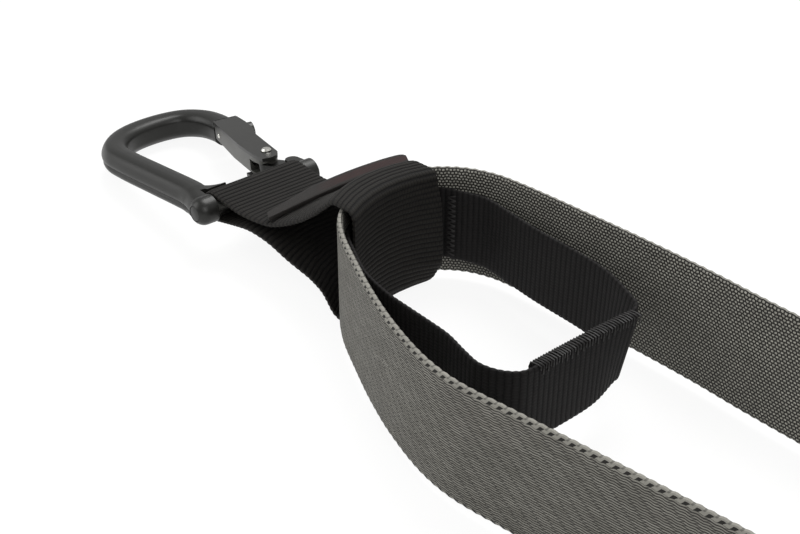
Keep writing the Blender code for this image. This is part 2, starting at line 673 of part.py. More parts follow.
def build_label_tab(label, parts):
    """A short tape with a round tip, sewn aslant on the anchor's top layer by one long edge."""
    run = ANCHOR_BACK_X - BAR_CENTRE.x
    climb = anchor_top() - anchor_over_bar()
    lift = anchor_over_bar() + (ANCHOR_THICK + TAB_THICK) / 2 + SEAT_GAP
    edge = catmull([Vector((BAR_CENTRE.x + run * along, ANCHOR_WIDTH / 2 * out, lift + climb * up))
                    for along, out, up in TAB_SHARES], ROUTE_STEP)
    chord = edge[-1] - edge[0]
    half = Vector((-chord.y, chord.x, chord.length * 0.1)).normalized() * TAB_WIDTH / 2
    tip = edge[-1] - edge[-2]
    stations = [(point + half, half) for point in edge]
    for along, wide in ((0.25, 0.95), (0.45, 0.70), (0.55, 0.35)):
        stations.append((edge[-1] + half + tip * along, half * wide))
    return ribbon("label_tab", stations, TAB_THICK, label, parts)


# leg stowage: hank, tie, twist, buckle and strap end

def leg_end(side):
    return LAYOUT_MID_Y + side * LEG_HALF_GAP


def handle_y(side):
    return LAYOUT_MID_Y + side * HANDLE_OFFSET_Y


def hank_start_x():
    return LEG_REACH + SEAT_GAP + HANK_PITCH


def hank_end_x():
    return hank_start_x() + HANK_LENGTH


def build_hank(name, side, grey, parts):
    """Seven runs on edge, side by side, joined by round folds, as one unbroken strap."""
    level = strap_level()
    fold = HANK_PITCH / 2
    line = [Vector((LEG_REACH + SEAT_GAP, leg_end(side), level))]
    for run in range(HANK_RUNS):
        y = leg_end(side) + side * HANK_PITCH * run
        forward = run % 2 == 0
        first, last = (hank_start_x(), hank_end_x()) if forward else (hank_end_x(), hank_start_x())
        for count in range(4):
            line.append(Vector((first + (last - first) * count / 3, y, level)))
        if run < HANK_RUNS - 1:
            centre = (last, y + side * fold)
            start = -side * math.pi / 2
            turn = side * math.pi if forward else -side * math.pi
            line += raised(arc(centre, fold, start, start + turn, BEND_STEPS)[1:-1], level)
    gap = HANK_PITCH - STRAP_THICK
    print(f"{name}: {HANK_RUNS} runs, least gap between runs {gap * 1000:.2f} mm, "
          f"length {sum((b - a).length for a, b in zip(line, line[1:])):.3f} m")
    return ribbon(name, upright(line, STRAP_WIDTH), STRAP_THICK, grey, parts)


def build_tie(name, side, black, parts):
    half_y = ((HANK_RUNS - 1) * HANK_PITCH + STRAP_THICK + TIE_THICK) / 2 + SEAT_GAP
    half_z = (STRAP_WIDTH + TIE_THICK) / 2 + SEAT_GAP
    centre_y = leg_end(side) + side * HANK_PITCH * (HANK_RUNS - 1) / 2
    centre = Vector((hank_start_x() + HANK_LENGTH / 2, centre_y, strap_level()))
    half = Vector((TIE_WIDTH / 2, 0.0, 0.0))
    outline = rounded_box_outline(half_y, half_z, TIE_THICK * 0.7, 3)
    stations = [(centre + Vector((0.0, y, z)), half) for y, z in outline]
    return ribbon(name, stations, TIE_THICK, black, parts, closed=True)


def lower_strap_z():
    return BUCKLE_SHEET + SEAT_GAP + STRAP_THICK / 2


def bight_radius():
    return HANDLE_WEB_WIDTH / 2 + BIGHT_ROOM + STRAP_THICK / 2


def strap_bar_x():
    return BUCKLE_START + BUCKLE_LENGTH - STRAP_BAR_SETBACK


def upper_ply_line():
    """The upper layer of the doubled strap, from over the strap bar to the top of the bight."""
    wrap = STRAP_BAR_RADIUS + SEAT_GAP + STRAP_THICK / 2
    low = Vector((strap_bar_x(), 0.0, STRAP_BAR_HEIGHT + wrap))
    high = Vector((BIGHT_CENTRE_X, 0.0, GRIP_AXIS_Z + bight_radius()))
    run = high - low
    knee = Vector((high.x - run.x * 0.20, 0.0, high.z))
    start = Vector((low.x + run.x * 0.14, 0.0, low.z + run.z * 0.04))
    middle = Vector((low.x + run.x * 0.48, 0.0, low.z + run.z * 0.52))
    return catmull([low, start, middle, knee, high], ROUTE_STEP)


def build_strap_end(name, side, grey, parts):
    """One strap: quarter twist, through the cam buckle, round the handle and back to the strap bar."""
    start = Vector((hank_end_x() + SEAT_GAP, leg_end(side) + side * HANK_PITCH * (HANK_RUNS - 1), strap_level()))
    end_x = BUCKLE_START - BUCKLE_LENGTH * 0.15
    y = handle_y(side)
    half = STRAP_WIDTH / 2
    stations = []
    steps = 14
    for count in range(steps + 1):
        share = count / steps
        ease = share * share * (3.0 - 2.0 * share)
        turn = ease * math.pi / 2
        flat = lower_strap_z()
        lift = strap_level() - half
        level = half * math.cos(turn) + lift + (flat - lift) * ease
        point = Vector((start.x + (end_x - start.x) * share, start.y + (y - start.y) * ease, level))
        stations.append((point, Vector((0.0, -math.sin(turn), math.cos(turn))) * half))
    across = Vector((0.0, -half, 0.0))
    radius = bight_radius()
    line = [Vector((BUCKLE_START + BUCKLE_LENGTH * share, y, lower_strap_z())) for share in (0.0, 0.5, 1.0)]
    bight = arc((BIGHT_CENTRE_X, GRIP_AXIS_Z), radius, -math.pi / 2, math.pi / 2, 12, "XZ", y)
    upper = [Vector((p.x, y, p.z)) for p in reversed(upper_ply_line())]
    wrap = STRAP_BAR_RADIUS + SEAT_GAP + STRAP_THICK / 2
    bar_turn = arc((strap_bar_x(), STRAP_BAR_HEIGHT), wrap, math.pi / 2, math.pi * 1.5, 8, "XZ", y)
    ply = STRAP_THICK + SEAT_GAP
    under = [p - Vector((0.0, 0.0, ply * 1.25)) for p in reversed(upper)]
    tail = [p for p in under if strap_bar_x() + wrap * 1.8 < p.x < BIGHT_CENTRE_X - radius * 0.9]
    end = catmull([bar_turn[-1]] + [bar_turn[-1] + Vector((wrap * 0.7, 0.0, wrap * 0.25))] + tail, ROUTE_STEP / 2)
    line += bight + upper[1:] + bar_turn[1:] + end[1:]
    stations += [(point, across) for point in line]
    return ribbon(name, stations, STRAP_THICK, grey, parts)


def build_pull_tab(name, side, yellow, parts):
    """A short folded tab sewn on the upper layer in front of the buckle."""
    y = handle_y(side)
    line = []
    upper = upper_ply_line()
    ply = (STRAP_THICK + HANDLE_WEB_THICK) / 2 + SEAT_GAP * 1.5
    for one, two in zip(upper, upper[1:]):
        normal = Vector((-(two - one).z, 0.0, (two - one).x)).normalized()
        place = one + normal * ply
        if strap_bar_x() + STRAP_BAR_RADIUS * 2 < place.x < strap_bar_x() + PULL_TAB_LENGTH * 0.8:
            line.append(Vector((place.x, y, place.z)))
    tip = line[-1] + Vector((PULL_TAB_LENGTH * 0.22, 0.0, PULL_TAB_LENGTH * 0.42))
    line = catmull([line[0], line[len(line) // 2], line[-1], tip], ROUTE_STEP)
    across = Vector((0.0, -PULL_TAB_WIDTH / 2, 0.0))
    return ribbon(name, [(p, across) for p in line], HANDLE_WEB_THICK, yellow, parts)


def build_buckle(prefix, side, steel, dark, parts, cutters):
    y = handle_y(side)
    inner = STRAP_WIDTH / 2 + SIDE_PLAY
    mid_x = BUCKLE_START + BUCKLE_LENGTH / 2
    base = block(f"{prefix}_buckle_frame", (BUCKLE_LENGTH, 2 * (inner + BUCKLE_SHEET), BUCKLE_SHEET), steel, parts,
                 Matrix.Translation((mid_x, y, BUCKLE_SHEET / 2)))
    half = BUCKLE_LENGTH / 2
    outline = [
        (-half, 0.0), (half, 0.0), (half, CHEEK_HEIGHT * 0.72), (half - CHEEK_HEIGHT * 0.28, CHEEK_HEIGHT),
        (-half * 0.55, CHEEK_HEIGHT), (-half * 0.92, CHEEK_HEIGHT * 0.45), (-half, CHEEK_HEIGHT * 0.30)]
    cam_x = BUCKLE_START + CAM_SETBACK
    cam_z = cam_height()
    for hand in (-1, 1):
        centre = Vector((mid_x, y + hand * (inner + BUCKLE_SHEET / 2), 0.0))
        cheek = plate(f"{prefix}_cheek_{'near' if hand < 0 else 'far'}", [outline], BUCKLE_SHEET, steel, cutters,
                      facing_y(centre))
        boolean(base, cheek, "UNION")
    wide = 4 * inner
    for hole, radius, x, z in (("pin_holes", CAM_PIN_RADIUS, cam_x, cam_z),
                               ("bar_holes", STRAP_BAR_RADIUS, strap_bar_x(), STRAP_BAR_HEIGHT)):
        cutter = rod(f"{prefix}_{hole}", radius + SEAT_GAP, wide, steel, cutters, facing_y(Vector((x, y, z))))
        boolean(base, cutter, "DIFFERENCE")

    pin_half = inner + BUCKLE_SHEET + SEAT_GAP
    for name, radius, x, z in ((f"{prefix}_cam_pin", CAM_PIN_RADIUS, cam_x, cam_z),
                               (f"{prefix}_strap_bar", STRAP_BAR_RADIUS, strap_bar_x(), STRAP_BAR_HEIGHT)):
        head = radius * 1.45
        tall = pin_half + BUCKLE_SHEET / 2
        turned(name, [(0.0, tall), (head, tall), (head, pin_half), (radius, pin_half), (radius, -pin_half),
                      (head, -pin_half), (head, -tall), (0.0, -tall)], steel, parts,
               facing_y(Vector((x, y, z))), steps=20)

    cam = plate(f"{prefix}_cam_lever", [cam_outline()], 2 * (inner - SEAT_GAP), dark, parts,
                facing_y(Vector((cam_x, y, cam_z))))
    bore = rod(f"{prefix}_cam_bore", CAM_PIN_RADIUS + SEAT_GAP, wide, dark, cutters,
               facing_y(Vector((cam_x, y, cam_z))))
    recess = rod(f"{prefix}_spring_recess", CAM_PIN_RADIUS + SEAT_GAP * 3 + 2 * SPRING_WIRE, SPRING_LENGTH, dark,
                 cutters, facing_y(Vector((cam_x, y, cam_z))))
    window = block(f"{prefix}_spring_window", (CAM_RADIUS, SPRING_LENGTH, CAM_RADIUS * 2), dark, cutters,
                   Matrix.Translation((cam_x + CAM_RADIUS, y, cam_z + CAM_RADIUS * 0.5)))
    for cutter in (bore, recess, window):
        boolean(cam, cutter, "DIFFERENCE")

    coil = []
    radius = CAM_PIN_RADIUS + SEAT_GAP + SPRING_WIRE
    span = SPRING_LENGTH - 4 * SPRING_WIRE
    for count in range(8 * SPRING_CURLS + 1):
        turn = math.tau * count / 8
        coil.append(Vector((radius * math.cos(turn), radius * math.sin(turn),
                            -span / 2 + span * count / (8 * SPRING_CURLS))))
    tube(f"{prefix}_cam_spring", coil, SPRING_WIRE, steel, parts, facing_y(Vector((cam_x, y, cam_z))), resolution=1)


def cam_height():
    top_of_strap = lower_strap_z() + STRAP_THICK / 2
    return top_of_strap + SEAT_GAP + CAM_RADIUS + CAM_LOBE


def cam_outline():
    """Side view of the cam: a round hub, a toothed lobe over the strap, and a thumb lever to the rear."""
    points = []
    steps = 4 * CAM_TEETH
    for count in range(steps + 1):
        angle = math.radians(-125.0) + math.radians(90.0) * count / steps
        lobe = CAM_LOBE * math.sin(math.pi * count / steps)
        tooth = 0.0 if count % 4 in (0, 2) else (CAM_LOBE * 0.22 if count % 4 == 1 else -CAM_LOBE * 0.22)
        reach = min(CAM_RADIUS + CAM_LOBE, CAM_RADIUS + lobe + tooth)
        points.append((reach * math.cos(angle), reach * math.sin(angle)))
    for count in range(1, 9):
        angle = math.radians(-35.0) + math.radians(140.0) * count / 8
        points.append((CAM_RADIUS * math.cos(angle), CAM_RADIUS * math.sin(angle)))
    tip = -CAM_LEVER_LENGTH
    points += [
        (tip * 0.45, CAM_RADIUS * 0.98), (tip * 0.92, CAM_RADIUS * 1.45), (tip, CAM_RADIUS * 1.30),
        (tip * 0.98, CAM_RADIUS * 1.30 - CAM_LEVER_THICK * 0.8), (tip * 0.50, CAM_RADIUS * 0.98 - CAM_LEVER_THICK),
        (-CAM_RADIUS * 1.05, CAM_RADIUS * 0.10)]
    return points


# handle, grip and cradle

def grip_x():
    return BIGHT_CENTRE_X + GRIP_REACH


def side_run_y():
    """Distance of the handle's side webbing from the handle's middle line."""
    return FOAM_HALF_LENGTH + CAP_THICK + SEAT_GAP + HANDLE_CORNER_ROOM + HANDLE_CORNER


def handle_line(side):
    """Half of the closed handle loop in the floor plane, from the apex to the middle of the grip."""
    apex = STRAP_WIDTH / 2 + SIDE_PLAY
    corner = HANDLE_CORNER
    lean_x = grip_x() - corner - HANDLE_SIDE_RUN - BIGHT_CENTRE_X
    lean_y = side_run_y() - apex - corner
    lean = math.atan2(lean_y, lean_x)
    start = arc((BIGHT_CENTRE_X + corner, apex), corner, math.pi, math.pi / 2 + lean, BEND_STEPS)
    knee = Vector((grip_x() - corner - HANDLE_SIDE_RUN, side_run_y(), 0.0))
    leaving = start[-1] + (knee - start[-1]) * 0.85
    bend = catmull([leaving, knee, knee + Vector((HANDLE_SIDE_RUN * 0.35, 0.0, 0.0))], ROUTE_STEP)
    turn = arc((grip_x() - corner, side_run_y() - corner), corner, math.pi / 2, 0.0, BEND_STEPS)
    half = start + bend + turn
    return half


def build_handle_webbing(name, side, black, parts):
    half = handle_line(side)
    y = handle_y(side)
    left = [Vector((p.x, y + p.y, GRIP_AXIS_Z)) for p in half]
    right = [Vector((p.x, y - p.y, GRIP_AXIS_Z)) for p in reversed(half)]
    return ribbon(name, upright(left + right, HANDLE_WEB_WIDTH), HANDLE_WEB_THICK, black, parts, closed=True)


def build_grip(prefix, side, foam, plastic, parts):
    axis = facing_y(Vector((grip_x(), handle_y(side), GRIP_AXIS_Z)))
    half = FOAM_HALF_LENGTH
    bore = TUBE_RADIUS - TUBE_WALL
    end = half + SEAT_GAP + CAP_THICK
    turned(f"{prefix}_grip_tube", [(TUBE_RADIUS, end), (TUBE_RADIUS, -end), (bore, -end), (bore, end)],
           plastic, parts, axis, closed=True)
    inner = TUBE_RADIUS + SEAT_GAP
    edge = (FOAM_RADIUS - inner) * 0.45
    turned(f"{prefix}_foam_grip", [
        (inner, half), (FOAM_RADIUS - edge, half), (FOAM_RADIUS, half - edge), (FOAM_RADIUS, -half + edge),
        (FOAM_RADIUS - edge, -half), (inner, -half)], foam, parts, axis, closed=True)
    for hand, word in ((1, "outer"), (-1, "inner")):
        middle = hand * side * (half + SEAT_GAP + CAP_THICK / 2)
        ring = CAP_THICK / 2
        turned(f"{prefix}_{word}_end_cap", [
            (inner, ring), (CAP_RADIUS - ring * 0.5, ring), (CAP_RADIUS, ring * 0.5), (CAP_RADIUS, -ring * 0.5),
            (CAP_RADIUS - ring * 0.5, -ring), (inner, -ring)], plastic, parts,
            axis @ Matrix.Translation((0.0, 0.0, -middle)), closed=True)


def cradle_y():
    return side_run_y() + HANDLE_WEB_THICK + CRADLE_GAP


def cradle_seam_x():
    return grip_x() - HANDLE_CORNER - HANDLE_SIDE_RUN + CRADLE_SEAM / 2 + HANDLE_SIDE_RUN * 0.30


def cradle_end_x():
    return grip_x() + CRADLE_REACH


def build_cradle(prefix, side, black, plastic, parts, cutters):
    """A U of webbing sewn to the handle's sides, with a three-bar slide on its cross side."""
    y = handle_y(side)
    end = cradle_end_x()
    corner = CRADLE_CORNER
    jog = SLIDER_THICK / 2 + HANDLE_WEB_THICK / 2 + SEAT_GAP * 1.7
    slot = SLIDER_BAR / 2 + SLIDER_SLOT / 2
    half = [Vector((cradle_seam_x() - CRADLE_SEAM / 2, cradle_y(), 0.0)),
            Vector((cradle_seam_x() + CRADLE_SEAM, cradle_y(), 0.0))]
    half += arc((end - corner - jog, cradle_y() - corner), corner, math.pi / 2, 0.0, BEND_STEPS)
    cross = [(SLIDER_LENGTH / 2, -jog), (slot + SLIDER_SLOT * 0.40, -jog), (slot, 0.0),
             (slot - SLIDER_SLOT * 0.40, jog), (0.0, jog)]
    over = [Vector((end + out, across, 0.0)) for across, out in cross]
    over = over[:2] + catmull(over[1:], SLIDER_SLOT / 4)[1:]
    line = half + over
    mirrored = [Vector((p.x, -p.y, p.z)) for p in reversed(line[:-1])]
    start_x, run = cradle_seam_x(), end - cradle_seam_x()
    route = []
    for p in line + mirrored:
        share = max(0.0, (p.x - start_x) / run)
        route.append(Vector((p.x, y + p.y, GRIP_AXIS_Z - CRADLE_DROP * min(1.0, share))))
    ribbon(f"{prefix}_foot_cradle", upright(route, HANDLE_WEB_WIDTH), HANDLE_WEB_THICK, black, parts)

    outline = rounded_box_outline(SLIDER_LENGTH / 2, SLIDER_HEIGHT / 2, SLIDER_THICK * 0.6, 3)
    tall = HANDLE_WEB_WIDTH / 2 + SEAT_GAP * 2
    holes = []
    for hand in (-1, 1):
        centre = hand * slot
        wide = SLIDER_SLOT / 2
        holes.append([(centre - wide, -tall), (centre + wide, -tall), (centre + wide, tall), (centre - wide, tall)])
    level = GRIP_AXIS_Z - CRADLE_DROP
    place = (Matrix.Translation((end, y, level)) @ Matrix.Rotation(math.radians(90.0), 4, "Z")
             @ Matrix.Rotation(math.radians(90.0), 4, "X"))
    plate(f"{prefix}_cradle_slide", [outline] + holes, SLIDER_THICK, plastic, parts, place)


def main():
    clear_scene()
    parts = bpy.data.collections.new("suspension_trainer")
    cutters = bpy.data.collections.new("cutters")
    bpy.context.scene.collection.children.link(parts)
    bpy.context.scene.collection.children.link(cutters)

    alloy = finish("black_anodised_alloy", (0.020, 0.020, 0.021), 0.45, 0.6)
    steel = finish("zinc_plated_steel", (0.42, 0.42, 0.43), 0.35, 1.0)
    silver = finish("bright_rivet", (0.70, 0.70, 0.70), 0.25, 1.0)
    black = finish("black_webbing", (0.012, 0.012, 0.013), 0.85)
    grey = finish("grey_webbing", (0.16, 0.16, 0.155), 0.85)
    label = finish("woven_label", (0.035, 0.014, 0.014), 0.8)
    yellow = finish("amber_webbing", (0.60, 0.36, 0.02), 0.8)
    plastic = finish("black_nylon", (0.018, 0.018, 0.018), 0.5)
    foam = finish("black_foam", (0.022, 0.022, 0.022), 0.95)

    build_carabiner(steel, alloy, silver, parts, cutters)
    build_anchor(black, parts)
    build_label_tab(label, parts)
    build_main_strap(grey, parts)
    build_locking_loop(black, parts)
    for prefix, side in SIDES:
        build_hank(f"{prefix}_strap_hank", side, grey, parts)
        build_tie(f"{prefix}_hank_tie", side, black, parts)
        build_strap_end(f"{prefix}_strap_end", side, grey, parts)
        build_pull_tab(f"{prefix}_pull_tab", side, yellow, parts)
        build_buckle(prefix, side, steel, plastic, parts, cutters)
        build_handle_webbing(f"{prefix}_handle_webbing", side, black, parts)
        build_grip(prefix, side, foam, plastic, parts)
        build_cradle(prefix, side, black, plastic, parts, cutters)


main()
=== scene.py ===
# %% [markdown]
# # A suspension trainer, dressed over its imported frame
# The frame holds every rigid part and a plain solid for every strap. This lesson gives each strap its weave
# and each metal part its finish. Lengths are in metres, and in millimetres where a name ends in MM.

# %% Load the frame
import math

import bpy
from mathutils import Euler, Matrix, Vector


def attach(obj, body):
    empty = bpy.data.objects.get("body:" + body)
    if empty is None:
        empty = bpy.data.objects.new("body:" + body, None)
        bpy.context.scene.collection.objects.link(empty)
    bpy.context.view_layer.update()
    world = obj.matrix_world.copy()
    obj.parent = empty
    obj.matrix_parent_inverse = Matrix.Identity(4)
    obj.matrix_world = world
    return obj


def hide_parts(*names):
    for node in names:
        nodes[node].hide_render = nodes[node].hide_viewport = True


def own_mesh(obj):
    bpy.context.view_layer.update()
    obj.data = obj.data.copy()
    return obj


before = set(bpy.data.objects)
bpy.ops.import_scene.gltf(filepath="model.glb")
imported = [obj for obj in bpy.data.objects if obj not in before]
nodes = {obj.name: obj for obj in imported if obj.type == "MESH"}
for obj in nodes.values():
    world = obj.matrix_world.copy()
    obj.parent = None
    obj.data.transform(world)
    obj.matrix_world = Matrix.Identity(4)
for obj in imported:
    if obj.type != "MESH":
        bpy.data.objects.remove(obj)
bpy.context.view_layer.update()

# %% [markdown]
# ## Camera
# The photo looks down on the carabiner from the front left of the buckles' side. A normal to long lens keeps
# the legs nearly parallel, so the focal length is 58.5 mm on a 36 mm sensor, and depth of field stays off.

# %% Camera
def place_new(name, data):
    """A new object for the data, linked to the scene."""
    piece = bpy.data.objects.new(name, data)
    bpy.context.scene.collection.objects.link(piece)
    return piece


camera_data = bpy.data.cameras.new("photo_camera")
camera_data.lens = 58.5
camera_data.sensor_width = 36.0
camera_data.clip_start = 0.01
camera = place_new("photo_camera", camera_data)
camera.location = (0.24485, -0.23560, 0.2321)
camera.rotation_euler = (math.radians(57.0), 0.0, math.radians(45.0))
bpy.context.scene.camera = camera
bpy.context.scene.view_settings.view_transform = "Standard"
print("camera", [round(value, 3) for value in camera.location])

# %% [markdown]
# ## Colours and nodes
# Colours are written as sRGB hex values, and one function makes them linear. One more function adds a shader
# node with its settings and links, and the short ones after it name the nodes that every material uses.

# %% Colour and node helpers
def srgb(code):
    """Linear RGBA from a hex colour such as 8a8780."""
    linear = []
    for start in (0, 2, 4):
        value = int(code[start:start + 2], 16) / 255
        linear.append(value / 12.92 if value <= 0.04045 else ((value + 0.055) / 1.055) ** 2.4)
    return (*linear, 1.0)


def plug(tree, node, inputs):
    """Fills a node's inputs. A socket given as a value is linked, and any other value is set."""
    for name, value in inputs.items():
        if isinstance(value, bpy.types.NodeSocket):
            tree.links.new(value, node.inputs[name])
        else:
            node.inputs[name].default_value = value


def add(tree, kind, inputs=None, **settings):
    """Adds a node with its settings and its inputs."""
    node = tree.nodes.new(kind)
    for name, value in settings.items():
        setattr(node, name, value)
    plug(tree, node, inputs or {})
    return node


def calc(tree, operation, *values):
    """The result of one Math node."""
    return add(tree, "ShaderNodeMath", dict(enumerate(values)), operation=operation).outputs[0]


def vectors(tree, operation, one, two):
    """The result of one Vector Math node."""
    return add(tree, "ShaderNodeVectorMath", {0: one, 1: two}, operation=operation).outputs[0]


def blend(tree, factor, one, two, way="MIX"):
    """One colour from two."""
    inputs = {"Factor": factor, 6: one, 7: two}
    return add(tree, "ShaderNodeMix", inputs, data_type="RGBA", blend_type=way).outputs[2]


def ranged(tree, value, low, high, start=0.3, stop=0.7):
    """Runs from low to high while the value runs from start to stop."""
    inputs = {"Value": value, "From Min": start, "From Max": stop, "To Min": low, "To Max": high}
    return add(tree, "ShaderNodeMapRange", inputs).outputs[0]


def noise(tree, vector, scale, detail, roughness=0.5):
    inputs = {"Vector": vector, "Scale": scale, "Detail": detail, "Roughness": roughness}
    return add(tree, "ShaderNodeTexNoise", inputs).outputs["Fac"]


def worn(tree, colour, patches, low, high):
    """The colour made darker and paler in patches."""
    return blend(tree, 1.0, colour, ranged(tree, patches, low, high), "MULTIPLY")


def bump(tree, height, strength, distance):
    inputs = {"Height": height, "Strength": strength, "Distance": distance}
    return add(tree, "ShaderNodeBump", inputs).outputs[0]


def new_material(name):
    """A material with only its Principled shader, and the tree it sits in."""
    material = bpy.data.materials.new(name)
    material.use_nodes = True
    return material, material.node_tree, material.node_tree.nodes["Principled BSDF"]


# %% [markdown]
# ## Floor and light
# The floor is white to the camera and to reflections, with a little diffuse white mixed in to keep a soft
# shadow. Light is a big soft box overhead and behind, weaker ones from the front, and a white world.

# %% Floor
bpy.ops.mesh.primitive_plane_add(size=8.0, location=(0.3, 0.0, -0.0004))
floor = bpy.context.object
floor.name = "floor"
white, tree, shader = new_material("white_paper_sweep")
path = add(tree, "ShaderNodeLightPath")
seen = calc(tree, "MAXIMUM", path.outputs["Is Camera Ray"], path.outputs["Is Glossy Ray"])
glow = add(tree, "ShaderNodeEmission", {"Color": (1.0, 1.0, 1.0, 1.0), "Strength": 1.04})
plug(tree, shader, {"Base Color": srgb("f4f4f2"), "Roughness": 0.9})
mixed = add(tree, "ShaderNodeMixShader",
            {0: calc(tree, "MULTIPLY", seen, 0.86), 1: shader.outputs[0], 2: glow.outputs[0]})
plug(tree, tree.nodes["Material Output"], {"Surface": mixed.outputs[0]})
floor.data.materials.append(white)
print("floor", [round(value, 2) for value in floor.dimensions])

# %% World and lamps
world = bpy.data.worlds.new("studio")
world.use_nodes = True
bpy.context.scene.world = world
tree = world.node_tree
path = add(tree, "ShaderNodeLightPath")
seen = calc(tree, "MAXIMUM", path.outputs["Is Camera Ray"], path.outputs["Is Transmission Ray"])
plug(tree, tree.nodes["Background"], {"Color": (1.0, 1.0, 1.0, 1.0),
                                      "Strength": ranged(tree, seen, 0.45, 1.0, 0.0, 1.0)})

for name, place, aim, size, power in (
        ("overhead_softbox", (-0.25, 0.55, 1.1), (0.0, 0.0, 0.0), 0.8, 14.0),
        ("left_fill", (-0.75, -0.65, 0.55), (0.05, -0.02, 0.02), 0.8, 5.0),
        ("grip_fill", (1.2, -0.5, 1.1), (0.6, 0.0, 0.0), 0.9, 8.0)):
    lamp_data = bpy.data.lights.new(name, "AREA")
    lamp_data.size = size
    lamp_data.energy = power
    lamp = place_new(name, lamp_data)
    lamp.location = place
    lamp.rotation_euler = (Vector(aim) - Vector(place)).to_track_quat("-Z", "Y").to_euler()
    print(name, power, "W")

# %% [markdown]
# ## Webbing materials
# Nylon webbing is warp-faced: thick weft cords lie inside, so ribs run across it every 1.7 to 1.9 mm, and
# fine yarns run over them. The grey strap is polyester twill with long pale floats on its outer face and pale
# dots on a dark ground on its inner face. The patterns read the strap's own UV map, one metre to the unit.

# %% Yarn pattern
UNIT_MM = 4.0
STRAP_WIDTH, STRAP_THICK = 0.038, 0.0018


def strap_plane(tree, swap=False):
    """The flat strap in millimetres, along then across or swapped, and its two coordinates."""
    uv = add(tree, "ShaderNodeUVMap", uv_map="flat_strap")
    plane = vectors(tree, "MULTIPLY", uv.outputs[0], (1000.0, 1000.0, 0.0))
    parts = add(tree, "ShaderNodeSeparateXYZ", {0: plane})
    along, across = parts.outputs["X"], parts.outputs["Y"]
    if swap:
        plane = add(tree, "ShaderNodeCombineXYZ", {"X": across, "Y": along}).outputs[0]
    return plane, along, across


def yarns(tree, plane, float_mm, row_mm, gap_mm, soft=1.0):
    """Rows of yarn floats in a brick pattern: the fraction is 0 on a float and 1 in the gap between."""
    scaled = vectors(tree, "MULTIPLY", plane, (1 / UNIT_MM, 1 / UNIT_MM, 1.0))
    warped = add(tree, "ShaderNodeTexNoise", {"Vector": scaled, "Scale": 0.9, "Detail": 2.0})
    nudge = vectors(tree, "MULTIPLY", warped.outputs["Color"], (0.06, 0.06, 0.0))
    return add(tree, "ShaderNodeTexBrick", {
        "Vector": vectors(tree, "ADD", scaled, nudge), "Scale": 1.0, "Brick Width": float_mm / UNIT_MM,
        "Row Height": row_mm / UNIT_MM, "Mortar Size": gap_mm / UNIT_MM, "Mortar Smooth": soft})


# %% [markdown]
# ### Ribbed black nylon
# Black yarn is not pure black: it reads as warm charcoal where light rakes over the ribs. The ribs
# themselves are in the mesh, and the shader adds the yarns on them, with painted shade in the grooves
# between ribs and in the gaps between yarns.

# %% Ribbed black nylon webbing
def ribbed_nylon(name, yarn, shade, rib_mm):
    material, tree, shader = new_material(name)
    plane, along, _ = strap_plane(tree, swap=True)
    gaps = yarns(tree, plane, 1.05, rib_mm, 0.16).outputs["Fac"]
    # Painted shade: the grooves between ribs and the gaps between yarn floats get the darker shade colour.
    wave = calc(tree, "SINE", calc(tree, "MULTIPLY", along, math.pi / rib_mm))
    tone = blend(tree, calc(tree, "ABSOLUTE", wave), srgb(shade), srgb(yarn))
    thread = blend(tree, gaps, tone, srgb(shade))
    plug(tree, shader, {
        "Base Color": worn(tree, thread, noise(tree, plane, 0.11, 6.0, 0.6), 0.82, 1.18),
        "Normal": bump(tree, calc(tree, "SUBTRACT", 1.0, gaps), 0.55, 0.00022),
        "Roughness": 0.75, "Specular IOR Level": 0.22})
    return material


anchor_nylon = ribbed_nylon("ribbed_nylon_anchor", "1f1d1a", "070606", 1.7)
loop_nylon = ribbed_nylon("ribbed_nylon_loop", "1a1818", "070606", 1.9)
print(anchor_nylon.name, loop_nylon.name)

# %% [markdown]
# ### Grey polyester strap
# At each selvedge the weft turns back round a pale end, and a black end shows beside it every 2.9 mm, which
# gives a pale rim with dark dashes under it. The two faces differ, so the strap gets one material for each.

# %% Grey polyester webbing
SELVEDGE_MM, EDGE_END_MM, DASH_MM, DASH_SLANT, NOTCH_FROM = 1.20, 0.34, 2.9, 0.9, 0.80


